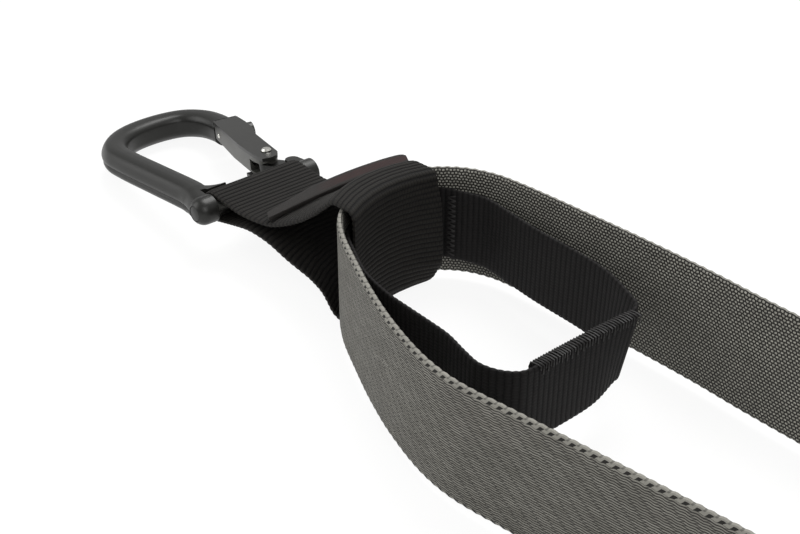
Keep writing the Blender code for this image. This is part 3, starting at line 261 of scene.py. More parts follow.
def grey_polyester(name, yarn, second, ground, float_mm, row_mm, gap_mm, soft, dashed=0.0, twill=0.0):
    """dashed is the dark share of each dash's pitch, and twill shears the rows along the strap."""
    material, tree, shader = new_material(name)
    plane, along, across = strap_plane(tree)
    sheared = calc(tree, "MULTIPLY_ADD", across, twill, along)
    stepped = add(tree, "ShaderNodeCombineXYZ", {"X": sheared, "Y": across}).outputs[0]
    floats = yarns(tree, stepped, float_mm, row_mm, gap_mm, soft)
    plug(tree, floats, {"Color1": srgb(yarn), "Color2": srgb(second), "Mortar": srgb(ground)})
    half_mm = STRAP_WIDTH * 500
    side = calc(tree, "ABSOLUTE", calc(tree, "SUBTRACT", across, half_mm))
    selvedge = calc(tree, "GREATER_THAN", side, half_mm - SELVEDGE_MM)
    turn = calc(tree, "FLOORED_MODULO", calc(tree, "MULTIPLY_ADD", side, DASH_SLANT, along), DASH_MM)
    inside = calc(tree, "LESS_THAN", side, half_mm - EDGE_END_MM)
    dash = calc(tree, "MULTIPLY", calc(tree, "LESS_THAN", turn, DASH_MM * dashed), inside)
    late = calc(tree, "GREATER_THAN", turn, DASH_MM * NOTCH_FROM)
    notch = calc(tree, "MULTIPLY", late, calc(tree, "MULTIPLY_ADD", inside, -0.5, 0.5))
    check = blend(tree, calc(tree, "MAXIMUM", dash, notch), srgb(yarn), srgb("1c1b18"))
    border = selvedge if dashed else 0.0
    edged = blend(tree, border, floats.outputs["Color"], check)
    raised_yarn = calc(tree, "SUBTRACT", 1.0, floats.outputs["Fac"])
    height = add(tree, "ShaderNodeMix", {"Factor": border, 2: raised_yarn, 3: dash}, data_type="FLOAT")
    plug(tree, shader, {
        "Base Color": worn(tree, edged, noise(tree, plane, 0.08, 7.0, 0.65), 0.90, 1.10),
        "Normal": bump(tree, height.outputs[0], 0.6, 0.00025),
        "Roughness": 0.7, "Specular IOR Level": 0.3})
    return material


strap_outer = grey_polyester("polyester_twill_outer_face", "83817a", "6e6c65", "1d1b18", 4.8, 0.74, 0.27, 0.8,
                             dashed=0.45, twill=2.3)
strap_inner = grey_polyester("polyester_basket_inner_face", "a8a69d", "94928a", "262522", 1.15, 1.0, 0.29,
                             0.45)
print(strap_outer.name, strap_inner.name)

# %% [markdown]
# ### Plain woven tapes
# The label is a narrow woven tape, left bare, dark on its edge and dull red on its face. The pull tabs are
# amber nylon tape, so that a hand finds them.

# %% Woven tape
TAB_MM, TAB_HEM_MM = 5.8, (18.0, 27.0)


def woven_tape(name, yarn, ground, float_mm, row_mm, roughness, middle=None):
    """middle is the colour of the tape's middle, which starts past the hem."""
    material, tree, shader = new_material(name)
    plane, along, across = strap_plane(tree)
    gaps = yarns(tree, plane, float_mm, row_mm, 0.14).outputs["Fac"]
    side = calc(tree, "ABSOLUTE", calc(tree, "SUBTRACT", across, TAB_MM / 2))
    band = ranged(tree, side, 0.0, 1.0, TAB_MM * 0.22, TAB_MM * 0.34)
    plain = calc(tree, "MAXIMUM", band, ranged(tree, along, 1.0, 0.0, *TAB_HEM_MM))
    face = blend(tree, plain, srgb(middle or yarn), srgb(yarn))
    tone = blend(tree, gaps, face, srgb(ground))
    plug(tree, shader, {
        "Base Color": worn(tree, tone, noise(tree, plane, 0.25, 5.0), 0.8, 1.2),
        "Normal": bump(tree, calc(tree, "SUBTRACT", 1.0, gaps), 0.5, 0.00015), "Roughness": roughness})
    return material


label_face = woven_tape("woven_label_tape_face", "1f1b18", "0e0b0a", 0.8, 0.5, 0.8, middle="2f1513")
label_back = woven_tape("woven_label_tape_back", "211e1b", "100e0c", 0.8, 0.5, 0.8)
amber_tape = woven_tape("amber_nylon_tape", "e0a01c", "8a5a08", 1.6, 0.8, 0.55)
handle_nylon = ribbed_nylon("ribbed_nylon_handle", "282624", "0d0c0c", 1.9)
print(label_face.name, label_back.name, amber_tape.name, handle_nylon.name)

# %% [markdown]
# ## Laying a strap
# A real strap is a flat strip that is bent into place. A flat grid with the strap's own length and width gets
# its UV map first, then each cross row is moved to its place on the route, and Solidify gives the thickness,
# less of it in the grooves between ribs and at the thin edges.

# %% Curves
def at(x=0.0, y=0.0, z=0.0):
    """A vector, with 0 for what isn't given."""
    return Vector((x, y, z))


def barry_goldman(points, knots, when):
    """The curve through four points: neighbours are mixed until one point is left."""
    for first, last in ((0, 1), (0, 2), (1, 2)):
        mixed = []
        for index, (one, two) in enumerate(zip(points, points[1:])):
            low, high = knots[index + first], knots[index + last]
            share = (when - low) / (high - low)
            mixed.append(one * (1.0 - share) + two * share)
        points = mixed
    return points[0]


def catmull(points, step):
    """A smooth line through the given points, with centripetal spacing so that it never loops."""
    ends = [points[0] * 2 - points[1]] + list(points) + [points[-1] * 2 - points[-2]]
    line = []
    for four in zip(ends, ends[1:], ends[2:], ends[3:]):
        knots = [0.0]
        for one, two in zip(four, four[1:]):
            knots.append(knots[-1] + math.sqrt((two - one).length))
        pieces = max(1, round((four[2] - four[1]).length / step))
        for count in range(pieces):
            line.append(barry_goldman(four, knots, knots[1] + (knots[2] - knots[1]) * count / pieces))
    return line + [points[-1]]


def arc(centre, radius, start, stop, steps, plane="XY", level=0.0):
    """Points on an arc, in the floor plane or in an upright plane along X."""
    points = []
    for count in range(steps + 1):
        angle = start + (stop - start) * count / steps
        along = centre[0] + radius * math.cos(angle)
        other = centre[1] + radius * math.sin(angle)
        points.append(at(along, other, level) if plane == "XY" else at(along, level, other))
    return points


def stations_every(stations, step):
    """The (middle, half-width vector) stations at an even spacing, and the length of the strap."""
    spaced = [stations[0]]
    walked, target = 0.0, step
    for (point, half), (after, after_half) in zip(stations, stations[1:]):
        length = (after - point).length
        while length > 0.0 and walked + length >= target:
            share = (target - walked) / length
            spaced.append((point.lerp(after, share), half.lerp(after_half, share)))
            target += step
        walked += length
    return spaced, walked


# %% Mesh helpers
WELD_DISTANCE = 0.00001


def only(piece):
    """Selects one object and makes it the active one."""
    bpy.ops.object.select_all(action="DESELECT")
    piece.select_set(True)
    bpy.context.view_layer.objects.active = piece


def weld():
    bpy.ops.mesh.remove_doubles(threshold=WELD_DISTANCE)


def edit(piece, *steps, select=None):
    """Runs edit-mode steps on one object, after all or nothing of it is selected."""
    only(piece)
    bpy.ops.object.mode_set(mode="EDIT")
    if select:
        bpy.ops.mesh.select_all(action=select)
    for step in steps:
        step()
    bpy.ops.object.mode_set(mode="OBJECT")


def edit_where(piece, kind, wanted, *steps):
    """Runs edit-mode steps on the edges or faces that are wanted."""
    edit(piece, select="DESELECT")
    for item in piece.data.edges if kind == "EDGE" else piece.data.polygons:
        item.select = wanted(item)
    edit(piece, lambda: bpy.ops.mesh.select_mode(type=kind), *steps)


def bevel(piece, width, segments, degrees=30.0):
    """Rounds every edge that turns by more than the angle."""
    only(piece)
    step = piece.modifiers.new("round_edges", "BEVEL")
    step.width = width
    step.segments = segments
    step.limit_method = "ANGLE"
    step.angle_limit = math.radians(degrees)
    bpy.ops.object.modifier_apply(modifier="round_edges")


def smooth(piece, degrees):
    only(piece)
    bpy.ops.object.shade_smooth_by_angle(angle=math.radians(degrees))


def size_mm(piece):
    return [round(value * 1000, 1) for value in piece.dimensions]


def paint(piece, material):
    piece.data.materials.clear()
    piece.data.materials.append(material)


# %% Strap from stations
EDGE_COLUMNS = (-1.0, -0.975, -0.90, -0.62, -0.30, 0.0, 0.30, 0.62, 0.90, 0.975, 1.0)
EDGE_WEIGHTS = (0.40, 0.78, 1.0, 1.0, 1.0, 1.0)


def lay_strap(name, stations, thick, width, faces, step, closed=False, rib=None, tooth=None, curl=None):
    """Bends a flat, UV-mapped strip along its stations.

    rib is (pitch, depth share) and tooth (pitch, height). curl gives a shift for a place and its share of
    the half width.
    """
    spaced, length = stations_every(stations, step)
    if closed:
        spaced[-1] = spaced[0]
    rows, columns = len(spaced), len(EDGE_COLUMNS)
    bpy.ops.object.select_all(action="DESELECT")
    bpy.ops.mesh.primitive_grid_add(x_subdivisions=rows - 1, y_subdivisions=columns - 1, size=2.0)
    strap = bpy.context.object
    strap.name = strap.data.name = name
    mesh = strap.data
    mesh.uv_layers[0].name = "flat_strap"
    places = [(round((v.co.x + 1.0) / 2.0 * (rows - 1)), round((v.co.y + 1.0) / 2.0 * (columns - 1)))
              for v in mesh.vertices]
    for loop, uv in zip(mesh.loops, mesh.uv_layers[0].data):
        row, column = places[loop.vertex_index]
        uv.uv = (row * step, width * (EDGE_COLUMNS[column] + 1.0) / 2.0)
    weights = strap.vertex_groups.new(name="yarn_depth")
    for vertex, (row, column) in zip(mesh.vertices, places):
        middle, half = spaced[row]
        share = EDGE_COLUMNS[column]
        along = row * step
        if tooth:
            pitch, height = tooth
            share *= 1.0 - height / width * (1.0 + math.cos(math.tau * along / pitch))
        vertex.co = middle + half * share
        if curl:
            vertex.co += curl(middle, share)
        weight = EDGE_WEIGHTS[min(column, columns - 1 - column)]
        if rib:
            pitch, depth = rib
            weight *= 1.0 - depth * (1.0 - abs(math.sin(math.pi * along / pitch))) ** 1.5
        weights.add([vertex.index], weight, "REPLACE")
    if closed:
        edit(strap, weld, select="SELECT")
    for material in faces:
        mesh.materials.append(material)
    wall = strap.modifiers.new("thickness", "SOLIDIFY")
    wall.thickness = thick
    wall.offset = 0.0
    wall.vertex_group = "yarn_depth"
    wall.use_even_offset = True
    wall.material_offset = len(faces) - 1
    wall.material_offset_rim = len(faces) - 1
    bpy.ops.object.modifier_apply(modifier="thickness")
    smooth(strap, 50.0)
    strap["length"] = length
    print(f"{name}: {length * 1000:.0f} mm long, {len(mesh.polygons)} faces")
    return strap


def upright(points, width):
    """Stations of webbing that stands on its edge."""
    half = at(z=width / 2)
    return [(point, half) for point in points]


def raised(points, height):
    return [at(p.x, p.y, height) for p in points]


# %% [markdown]
# ## The strap in view
# The grey strap stands on its edge on the floor. It comes from the right leg, bends round inside the anchor
# and leaves as the left leg. Its route repeats the points that the frame's solid follows.

# %% Main strap
ANCHOR_WIDTH, ANCHOR_THICK = 0.0355, 0.0018
LOOP_WIDTH, LOOP_THICK = 0.025, 0.0014
SEAT_GAP, WRAP_GAP = 0.0003, 0.0004
LAYOUT_MID_Y, LEG_HALF_GAP, LEG_REACH = -0.0085, 0.037, 0.1795
STRAP_LEVEL = ANCHOR_THICK + SEAT_GAP + STRAP_WIDTH / 2
STRAP_SHARES = [
    (1.0, -1.0), (0.889, -1.019), (0.671, -1.095), (0.554, -1.143), (0.448, -1.181), (0.382, -1.143),
    (0.292, -1.008), (0.214, -0.846), (0.142, -0.668), (0.060, -0.443), (0.017, -0.262), (-0.0045, -0.068),
    (-0.010, 0.230), (-0.0065, 0.500), (0.003, 0.690), (0.0195, 0.811), (0.0585, 0.973), (0.109, 1.068),
    (0.159, 1.095), (0.304, 1.105), (0.409, 1.103), (0.538, 1.081), (0.632, 1.046), (0.744, 1.019),
    (0.889, 1.003), (1.0, 1.0)]


def leg_points(shares, reach):
    return [at(reach * along, LAYOUT_MID_Y + LEG_HALF_GAP * out) for along, out in shares]


def strap_line(step):
    return catmull(leg_points(STRAP_SHARES, LEG_REACH), step)


main_strap = lay_strap("dressed_main_strap", upright(raised(strap_line(0.002), STRAP_LEVEL), STRAP_WIDTH),
                       STRAP_THICK, STRAP_WIDTH, [strap_inner, strap_outer], step=0.00072,
                       tooth=(0.0029, 0.00032))
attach(main_strap, "webbing")
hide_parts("main_strap")

# %% [markdown]
# ## Locking loop
# A narrower black loop is sewn to the anchor inside the strap's bight. Its two ends overlap along the side
# that crosses between the legs, where one cut end shows. The lower edge is tucked in at the far corner.

# %% Locking loop
LOOP_REACH, LOOP_LIFT = 0.0895, 0.0091
LOOP_CORNER_SHARE, LOOP_CORNER_SPREAD = (0.985, 0.530), 0.011
LOOP_CORNER_TUCK = at(-0.0040, -0.0010, 0.0014)
LOOP_CROSS_SHARES = [(0.992, 0.480), (0.972, 0.149), (0.952, -0.311), (0.945, -0.520)]
LOOP_RIGHT_SHARES = [
    (0.943, -0.640), (0.897, -0.735), (0.832, -0.776), (0.765, -0.743), (0.676, -0.681), (0.598, -0.660),
    (0.508, -0.643), (0.397, -0.616), (0.263, -0.532), (0.162, -0.405)]
LOOP_LEFT_SHARES = [
    (0.151, 0.880), (0.229, 0.932), (0.374, 0.884), (0.486, 0.846), (0.777, 0.770),
    (0.915, 0.640), (0.968, 0.568)]


def beside(points, distance):
    """The same line, moved sideways to its right."""
    moved = []
    for before, point, after in zip([points[0]] + points, points, points[1:] + [points[-1]]):
        run = (after - before).normalized()
        moved.append(point + at(run.y, -run.x) * distance)
    return moved


ply = (LOOP_THICK + SEAT_GAP) / 2
cross = leg_points(LOOP_CROSS_SHARES, LOOP_REACH)
half = ANCHOR_WIDTH / 2
bight = [p for p in strap_line(0.007) if p.x < LOOP_REACH / 9 and -1.2 * half < p.y < 1.3 * half]
bight = beside(bight, (STRAP_THICK + LOOP_THICK) / 2 + WRAP_GAP)
route = [p + at(ply) for p in cross] + leg_points(LOOP_RIGHT_SHARES, LOOP_REACH) + bight
route += leg_points(LOOP_LEFT_SHARES, LOOP_REACH) + [p - at(ply) for p in cross]
loop_line = raised(catmull(route, 0.001), LOOP_LIFT + LOOP_WIDTH / 2)
corner = leg_points([LOOP_CORNER_SHARE], LOOP_REACH)[0]
loop_stations = []
for point, upward in upright(loop_line, LOOP_WIDTH):
    away = (point - corner).xy.length
    tuck = LOOP_CORNER_TUCK * math.exp(-(away / LOOP_CORNER_SPREAD) ** 2) / 2
    loop_stations.append((point + tuck, upward - tuck))
locking_loop = lay_strap("dressed_locking_loop", loop_stations, LOOP_THICK, LOOP_WIDTH,
                         [loop_nylon], step=0.00038, rib=(0.0019, 0.30), tooth=(0.0019, 0.00012))
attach(locking_loop, "webbing")
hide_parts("locking_loop")

# %% [markdown]
# ## Anchor webbing
# One sewn ring goes over the carabiner's bar, rises over the strap, drops down its face and returns under it.
# Its edges curl forward where it passes round the strap, as stiff webbing does.

# %% Anchor webbing
BAR_CENTRE = at(-0.05647, -0.00161, 0.01685)
BAR_RADIUS = 0.0035
CARABINER_YAW, CARABINER_TILT, CARABINER_ROLL = math.radians(4.0), math.radians(7.5), math.radians(1.0)
ANCHOR_FACE_X, ANCHOR_BACK_X, ANCHOR_BEND, NEAR_CURL, FAR_CURL = 0.0036, -0.0050, 0.0030, 0.0045, 0.0068
FAR_CURL_SHARES = [
    (0.0, 0.25), (0.06, 0.40), (0.24, 1.0), (0.52, 0.98), (0.76, 0.87), (0.92, 0.60), (1.0, 0.60)]
DIP_SHARES = [(0.250, -0.455), (0.368, -0.400), (0.475, -0.083)]
CLIMB_SHARES = [
    (0.590, 0.149), (0.717, 0.397), (0.833, 0.634), (0.924, 0.850), (0.976, 0.975), (1.0, 1.0)]
LOWER_SHARES = [
    (0.970, 0.0), (0.934, 0.048), (0.832, 0.399), (0.571, 0.702), (0.445, 0.869), (0.319, 0.922),
    (0.222, 0.869)]
CURL_START_X, CURL_LENGTH = -0.044, 0.024
ANCHOR_TOP = STRAP_LEVEL + STRAP_WIDTH / 2 + SEAT_GAP + ANCHOR_THICK / 2
OVER_BAR = BAR_CENTRE.z + BAR_RADIUS + SEAT_GAP + ANCHOR_THICK / 2


def side_view(pairs):
    return [at(x, z=z) for x, z in pairs]


def anchor_profile():
    """Side view of the anchor's middle: over the bar, up over the strap, down its face and back."""
    half = ANCHOR_THICK / 2
    bar_x, bar_z = BAR_CENTRE.x, BAR_CENTRE.z
    run = ANCHOR_BACK_X - bar_x
    upper = [(bar_x + run * along, OVER_BAR + BAR_RADIUS * down) for along, down in DIP_SHARES]
    upper += [(bar_x + run * along, OVER_BAR + (ANCHOR_TOP - OVER_BAR) * up)
              for along, up in CLIMB_SHARES]
    lower = [(bar_x + run * along, half + (bar_z - half) * up) for along, up in LOWER_SHARES]
    bend_x = ANCHOR_FACE_X - ANCHOR_BEND
    top_bend = arc((bend_x, ANCHOR_TOP - ANCHOR_BEND), ANCHOR_BEND, math.pi / 2, 0.0, 10, "XZ")
    low_bend = arc((bend_x, half + ANCHOR_BEND), ANCHOR_BEND, 0.0, -math.pi / 2, 10, "XZ")
    round_bar = arc((bar_x, bar_z), OVER_BAR - bar_z, -math.pi / 2, -1.5 * math.pi, 24, "XZ")
    rise = catmull([round_bar[-1]] + side_view(upper), 0.001)
    back = catmull(side_view(lower) + [round_bar[0]], 0.001)
    return round_bar + rise[1:] + top_bend + low_bend + back


def looseness(point):
    """0 at the carabiner's bar and 1 at the strap."""
    return min(1.0, max(0.0, (point.x - CURL_START_X) / CURL_LENGTH))


def anchor_stations():
    stations = []
    for point in anchor_profile():
        loose = looseness(point)
        yaw = CARABINER_YAW * (1.0 - loose)
        across = at(math.sin(yaw), math.cos(yaw), -math.sin(CARABINER_ROLL) * (1.0 - loose))
        middle = point + at(0.0, BAR_CENTRE.y * (1.0 - loose))
        stations.append((middle, across * ANCHOR_WIDTH / 2))
    return stations


def share_at(pairs, place):
    """Straight lines between the pairs."""
    for (start, low), (end, high) in zip(pairs, pairs[1:]):
        if place <= end:
            return low + (high - low) * (place - start) / (end - start)
    return pairs[-1][1]


def anchor_curl(middle, share):
    """How far the edges of the ring lean forward of its middle at this place."""
    if share > 0.0:
        lean = FAR_CURL * share_at(FAR_CURL_SHARES, middle.z / ANCHOR_TOP)
    else:
        lean = NEAR_CURL * (1.5 if middle.z < BAR_CENTRE.z and middle.x < ANCHOR_BACK_X else 1.0)
    return at(lean * looseness(middle) * share * share)


# %% Lay the anchor
anchor = lay_strap("dressed_anchor", anchor_stations(), ANCHOR_THICK, ANCHOR_WIDTH, [anchor_nylon],
                   step=0.00034, closed=True, rib=(0.0017, 0.32), tooth=(0.0017, 0.00012), curl=anchor_curl)
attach(anchor, "webbing")
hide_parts("anchor_webbing")

# %% [markdown]
# ## Label tab
# A short tape, sewn aslant on the anchor by one long edge and round at its free end. It is left bare.

# %% Label tab
TAB_WIDTH, TAB_THICK, TAB_END = 0.0058, 0.0016, 0.0072
TAB_SHARES = [(0.507, -1.02, -0.008), (0.591, -0.056, 0.154), (0.727, 0.507, 0.382), (0.850, 0.910, 0.552),
              (0.899, 1.060, 0.608)]
run = ANCHOR_BACK_X - BAR_CENTRE.x
climb = ANCHOR_TOP - OVER_BAR
lift = OVER_BAR + (ANCHOR_THICK + TAB_THICK) / 2 + SEAT_GAP
edge = catmull([at(BAR_CENTRE.x + run * along, ANCHOR_WIDTH / 2 * out, lift + climb * up)
                for along, out, up in TAB_SHARES], 0.002)
chord = edge[-1] - edge[0]
half = at(-chord.y, chord.x, chord.length * 0.1).normalized() * TAB_WIDTH / 2
tab_stations = []
for count, point in enumerate(edge):
    wide = min(1.0, 0.55 + 0.45 * count / (len(edge) * 0.35))
    tab_stations.append((point + half * wide, half * wide))
tip = (edge[-1] - edge[-2]).normalized() * TAB_END
for along, wide in ((0.12, 0.995), (0.25, 0.96), (0.35, 0.88), (0.45, 0.72), (0.52, 0.52), (0.55, 0.35)):
    tab_stations.append((edge[-1] + half + tip * along, half * wide))
label_tab = lay_strap("dressed_label_tab", tab_stations, TAB_THICK, TAB_WIDTH, [label_face, label_back],
                      step=0.0006)
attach(label_tab, "webbing")
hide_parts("label_tab")

# %% [markdown]
# ## The put-away length
# The rest of each leg lies in seven runs, held by a black tie. It then turns flat, runs through the cam
# buckle, passes round the handle and comes back to the buckle's rear bar.

# %% Hank and tie
HANK_LEAD, HANK_LENGTH, HANK_RUNS, HANK_PITCH = 0.0030, 0.185, 7, 0.0030
HANK_START_X = LEG_REACH + SEAT_GAP + HANK_LEAD
TIE_WIDTH, TIE_THICK = 0.025, 0.0017


def leg_y(side, turns=0):
    """The leg's side place, or that of a turn of its hank."""
    return LAYOUT_MID_Y + side * LEG_HALF_GAP + side * HANK_PITCH * turns


def hank_stations(side):
    fold = HANK_PITCH / 2
    line = [at(LEG_REACH + SEAT_GAP, leg_y(side), STRAP_LEVEL)]
    for turn in range(HANK_RUNS):
        y = leg_y(side, turn)
        forward = turn % 2 == 0
        ends = (HANK_START_X, HANK_START_X + HANK_LENGTH)
        first, last = ends if forward else ends[::-1]
        line += [at(first, y, STRAP_LEVEL), at(last, y, STRAP_LEVEL)]
        if turn < HANK_RUNS - 1:
            start = -side * math.pi / 2
            stop = start + (side * math.pi if forward else -side * math.pi)
            line += raised(arc((last, y + side * fold), fold, start, stop, 12)[1:-1], STRAP_LEVEL)
    return upright(line, STRAP_WIDTH)


def tie_stations(side):
    half_y = ((HANK_RUNS - 1) * HANK_PITCH + STRAP_THICK + TIE_THICK) / 2 + SEAT_GAP
    half_z = (STRAP_WIDTH + TIE_THICK) / 2 + SEAT_GAP
    centre = at(HANK_START_X + HANK_LENGTH / 2, leg_y(side, (HANK_RUNS - 1) / 2), STRAP_LEVEL)
    half = at(TIE_WIDTH / 2)
    corner = TIE_THICK * 0.7
    outline = []
    for quarter, (y, z) in enumerate(((1, 1), (-1, 1), (-1, -1), (1, -1))):
        start = quarter * math.pi / 2
        outline += arc((y * (half_y - corner), z * (half_z - corner)), corner, start, start + math.pi / 2, 6)
    outline.append(outline[0])
    return [(centre + at(0.0, p.x, p.y), half) for p in outline]


# %% Strap end
TWIST_ROWS = 42
BUCKLE_START, BUCKLE_LENGTH, BUCKLE_SHEET = 0.467, 0.050, 0.0020
STRAP_BAR_RADIUS, STRAP_BAR_X, STRAP_BAR_HEIGHT = 0.0025, 0.510, 0.0120
BIGHT_CENTRE_X, GRIP_AXIS_Z, WEB_WIDTH, WEB_THICK = 0.574, 0.0180, 0.025, 0.0018
BIGHT_CLEARANCE = 0.0011
BIGHT_RADIUS = WEB_WIDTH / 2 + BIGHT_CLEARANCE + STRAP_THICK / 2
STRAP_BAR_WRAP = STRAP_BAR_RADIUS + SEAT_GAP + STRAP_THICK / 2
HANDLE_OFFSET_Y, PULL_TAB_LENGTH, PULL_TAB_WIDTH = 0.0785, 0.034, 0.025
LOWER_STRAP_Z = BUCKLE_SHEET + SEAT_GAP + STRAP_THICK / 2
SIDES = (("right", -1), ("left", 1))


def handle_y(side):
    return LAYOUT_MID_Y + side * HANDLE_OFFSET_Y


def upper_ply_line():
    """The upper layer of the doubled strap, from over the strap bar to the top of the bight."""
    low = at(STRAP_BAR_X, z=STRAP_BAR_HEIGHT + STRAP_BAR_WRAP)
    high = at(BIGHT_CENTRE_X, z=GRIP_AXIS_Z + BIGHT_RADIUS)
    rise = high - low
    knee = at(high.x - rise.x * 0.20, z=high.z)
    start = at(low.x + rise.x * 0.14, z=low.z + rise.z * 0.04)
    middle = at(low.x + rise.x * 0.48, z=low.z + rise.z * 0.52)
    return catmull([low, start, middle, knee, high], 0.007)


def strap_end_stations(side):
    start = at(HANK_START_X + HANK_LENGTH + SEAT_GAP, leg_y(side, HANK_RUNS - 1), STRAP_LEVEL)
    end_x = BUCKLE_START - BUCKLE_LENGTH * 0.15
    y = handle_y(side)
    half = STRAP_WIDTH / 2
    lift = STRAP_LEVEL - half
    stations = []
    for count in range(TWIST_ROWS + 1):
        share = count / TWIST_ROWS
        ease = share * share * (3.0 - 2.0 * share)
        turn = ease * math.pi / 2
        level = half * math.cos(turn) + lift + (LOWER_STRAP_Z - lift) * ease
        point = at(start.x + (end_x - start.x) * share, start.y + (y - start.y) * ease, level)
        stations.append((point, at(0.0, -math.sin(turn), math.cos(turn)) * half))
    line = [at(BUCKLE_START + BUCKLE_LENGTH * share, y, LOWER_STRAP_Z) for share in (0.0, 0.5, 1.0)]
    line += arc((BIGHT_CENTRE_X, GRIP_AXIS_Z), BIGHT_RADIUS, -math.pi / 2, math.pi / 2, 30, "XZ", y)
    upper = [at(p.x, y, p.z) for p in reversed(upper_ply_line())]
    bar_turn = arc((STRAP_BAR_X, STRAP_BAR_HEIGHT), STRAP_BAR_WRAP, math.pi / 2, math.pi * 1.5, 16, "XZ", y)
    under = [p - at(z=(STRAP_THICK + SEAT_GAP) * 1.25) for p in reversed(upper)]
    tail = [p for p in under
            if STRAP_BAR_X + STRAP_BAR_WRAP * 1.8 < p.x < BIGHT_CENTRE_X - BIGHT_RADIUS * 0.9]
    after_bar = bar_turn[-1] + at(STRAP_BAR_WRAP * 0.7, z=STRAP_BAR_WRAP * 0.25)
    line += upper[1:] + bar_turn[1:] + catmull([bar_turn[-1], after_bar] + tail, 0.0035)[1:]
    across = at(0.0, -half)
    return stations + [(point, across) for point in line]


# %% Pull tab
def pull_tab_stations(side):
    y = handle_y(side)
    line = []
    upper = upper_ply_line()
    ply = (STRAP_THICK + WEB_THICK) / 2 + SEAT_GAP * 1.5
    for one, two in zip(upper, upper[1:]):
        normal = at(-(two - one).z, z=(two - one).x).normalized()
        place = one + normal * ply
        if STRAP_BAR_X + STRAP_BAR_RADIUS * 2 < place.x < STRAP_BAR_X + PULL_TAB_LENGTH * 0.8:
            line.append(at(place.x, y, place.z))
    tip = line[-1] + at(PULL_TAB_LENGTH * 0.22, z=PULL_TAB_LENGTH * 0.42)
    line = catmull([line[0], line[len(line) // 2], line[-1], tip], 0.002)
    return [(p, at(0.0, -PULL_TAB_WIDTH / 2)) for p in line]


# %% [markdown]
# ## Handle webbing and foot cradle
# The handle is a closed loop of 25 mm nylon on edge: its apex sits in the strap's bight and its far side runs
# inside the grip. The cradle is a second strip outside the handle's sides with a slide on its cross side.

# %% Handle and cradle routes
GRIP_X, FOAM_HALF_LENGTH, CAP_THICK = 0.692, 0.0570, 0.0030
HANDLE_CORNER, HANDLE_SIDE_RUN = 0.0060, 0.030
HANDLE_CLEARANCE, APEX_CLEARANCE = 0.0012, 0.0008
SIDE_RUN_Y = FOAM_HALF_LENGTH + CAP_THICK + SEAT_GAP + HANDLE_CLEARANCE + HANDLE_CORNER
CRADLE_REACH, CRADLE_CORNER, CRADLE_DROP, CRADLE_SEAM = 0.105, 0.026, 0.0024, 0.016
SLIDER_LENGTH, SLIDER_THICK, SLIDER_BAR, SLIDER_SLOT = 0.0245, 0.0030, 0.0040, 0.0080
CRADLE_GAP = 0.0007
SEAM_X = GRIP_X - HANDLE_CORNER - HANDLE_SIDE_RUN + CRADLE_SEAM / 2 + HANDLE_SIDE_RUN * 0.30


def handle_stations(side):
    apex = STRAP_WIDTH / 2 + APEX_CLEARANCE
    knee_x = GRIP_X - HANDLE_CORNER - HANDLE_SIDE_RUN
    lean = math.atan2(SIDE_RUN_Y - apex - HANDLE_CORNER, knee_x - BIGHT_CENTRE_X)
    start = arc((BIGHT_CENTRE_X + HANDLE_CORNER, apex), HANDLE_CORNER, math.pi, math.pi / 2 + lean, 12)
    knee = at(knee_x, SIDE_RUN_Y)
    bend = catmull([start[-1] + (knee - start[-1]) * 0.85, knee, knee + at(HANDLE_SIDE_RUN * 0.35)], 0.002)
    turn = arc((GRIP_X - HANDLE_CORNER, SIDE_RUN_Y - HANDLE_CORNER), HANDLE_CORNER, math.pi / 2, 0.0, 12)
    half = start + bend + turn
    y = handle_y(side)
    left = [at(p.x, y + p.y, GRIP_AXIS_Z) for p in half]
    right = [at(p.x, y - p.y, GRIP_AXIS_Z) for p in reversed(half)]
    return upright(left + right + left[:1], WEB_WIDTH)


def cradle_stations(side):
    y = handle_y(side)
    cradle_y = SIDE_RUN_Y + WEB_THICK + CRADLE_GAP
    end = GRIP_X + CRADLE_REACH
    jog = SLIDER_THICK / 2 + WEB_THICK / 2 + SEAT_GAP * 1.7
    slot = SLIDER_BAR / 2 + SLIDER_SLOT / 2
    half = [at(SEAM_X - CRADLE_SEAM / 2, cradle_y), at(SEAM_X + CRADLE_SEAM, cradle_y)]
    half += arc((end - CRADLE_CORNER - jog, cradle_y - CRADLE_CORNER), CRADLE_CORNER, math.pi / 2, 0.0, 18)
    cross = [(SLIDER_LENGTH / 2, -jog), (slot + SLIDER_SLOT * 0.40, -jog), (slot, 0.0),
             (slot - SLIDER_SLOT * 0.40, jog), (0.0, jog)]
    over = [at(end + out, across) for across, out in cross]
    line = half + over[:2] + catmull(over[1:], SLIDER_SLOT / 8)[1:]
    line += [at(p.x, -p.y, p.z) for p in reversed(line[:-1])]
    route = []
    for p in line:
        share = min(1.0, max(0.0, (p.x - SEAM_X) / (end - SEAM_X)))
        route.append(at(p.x, y + p.y, GRIP_AXIS_Z - CRADLE_DROP * share))
    return upright(route, WEB_WIDTH)


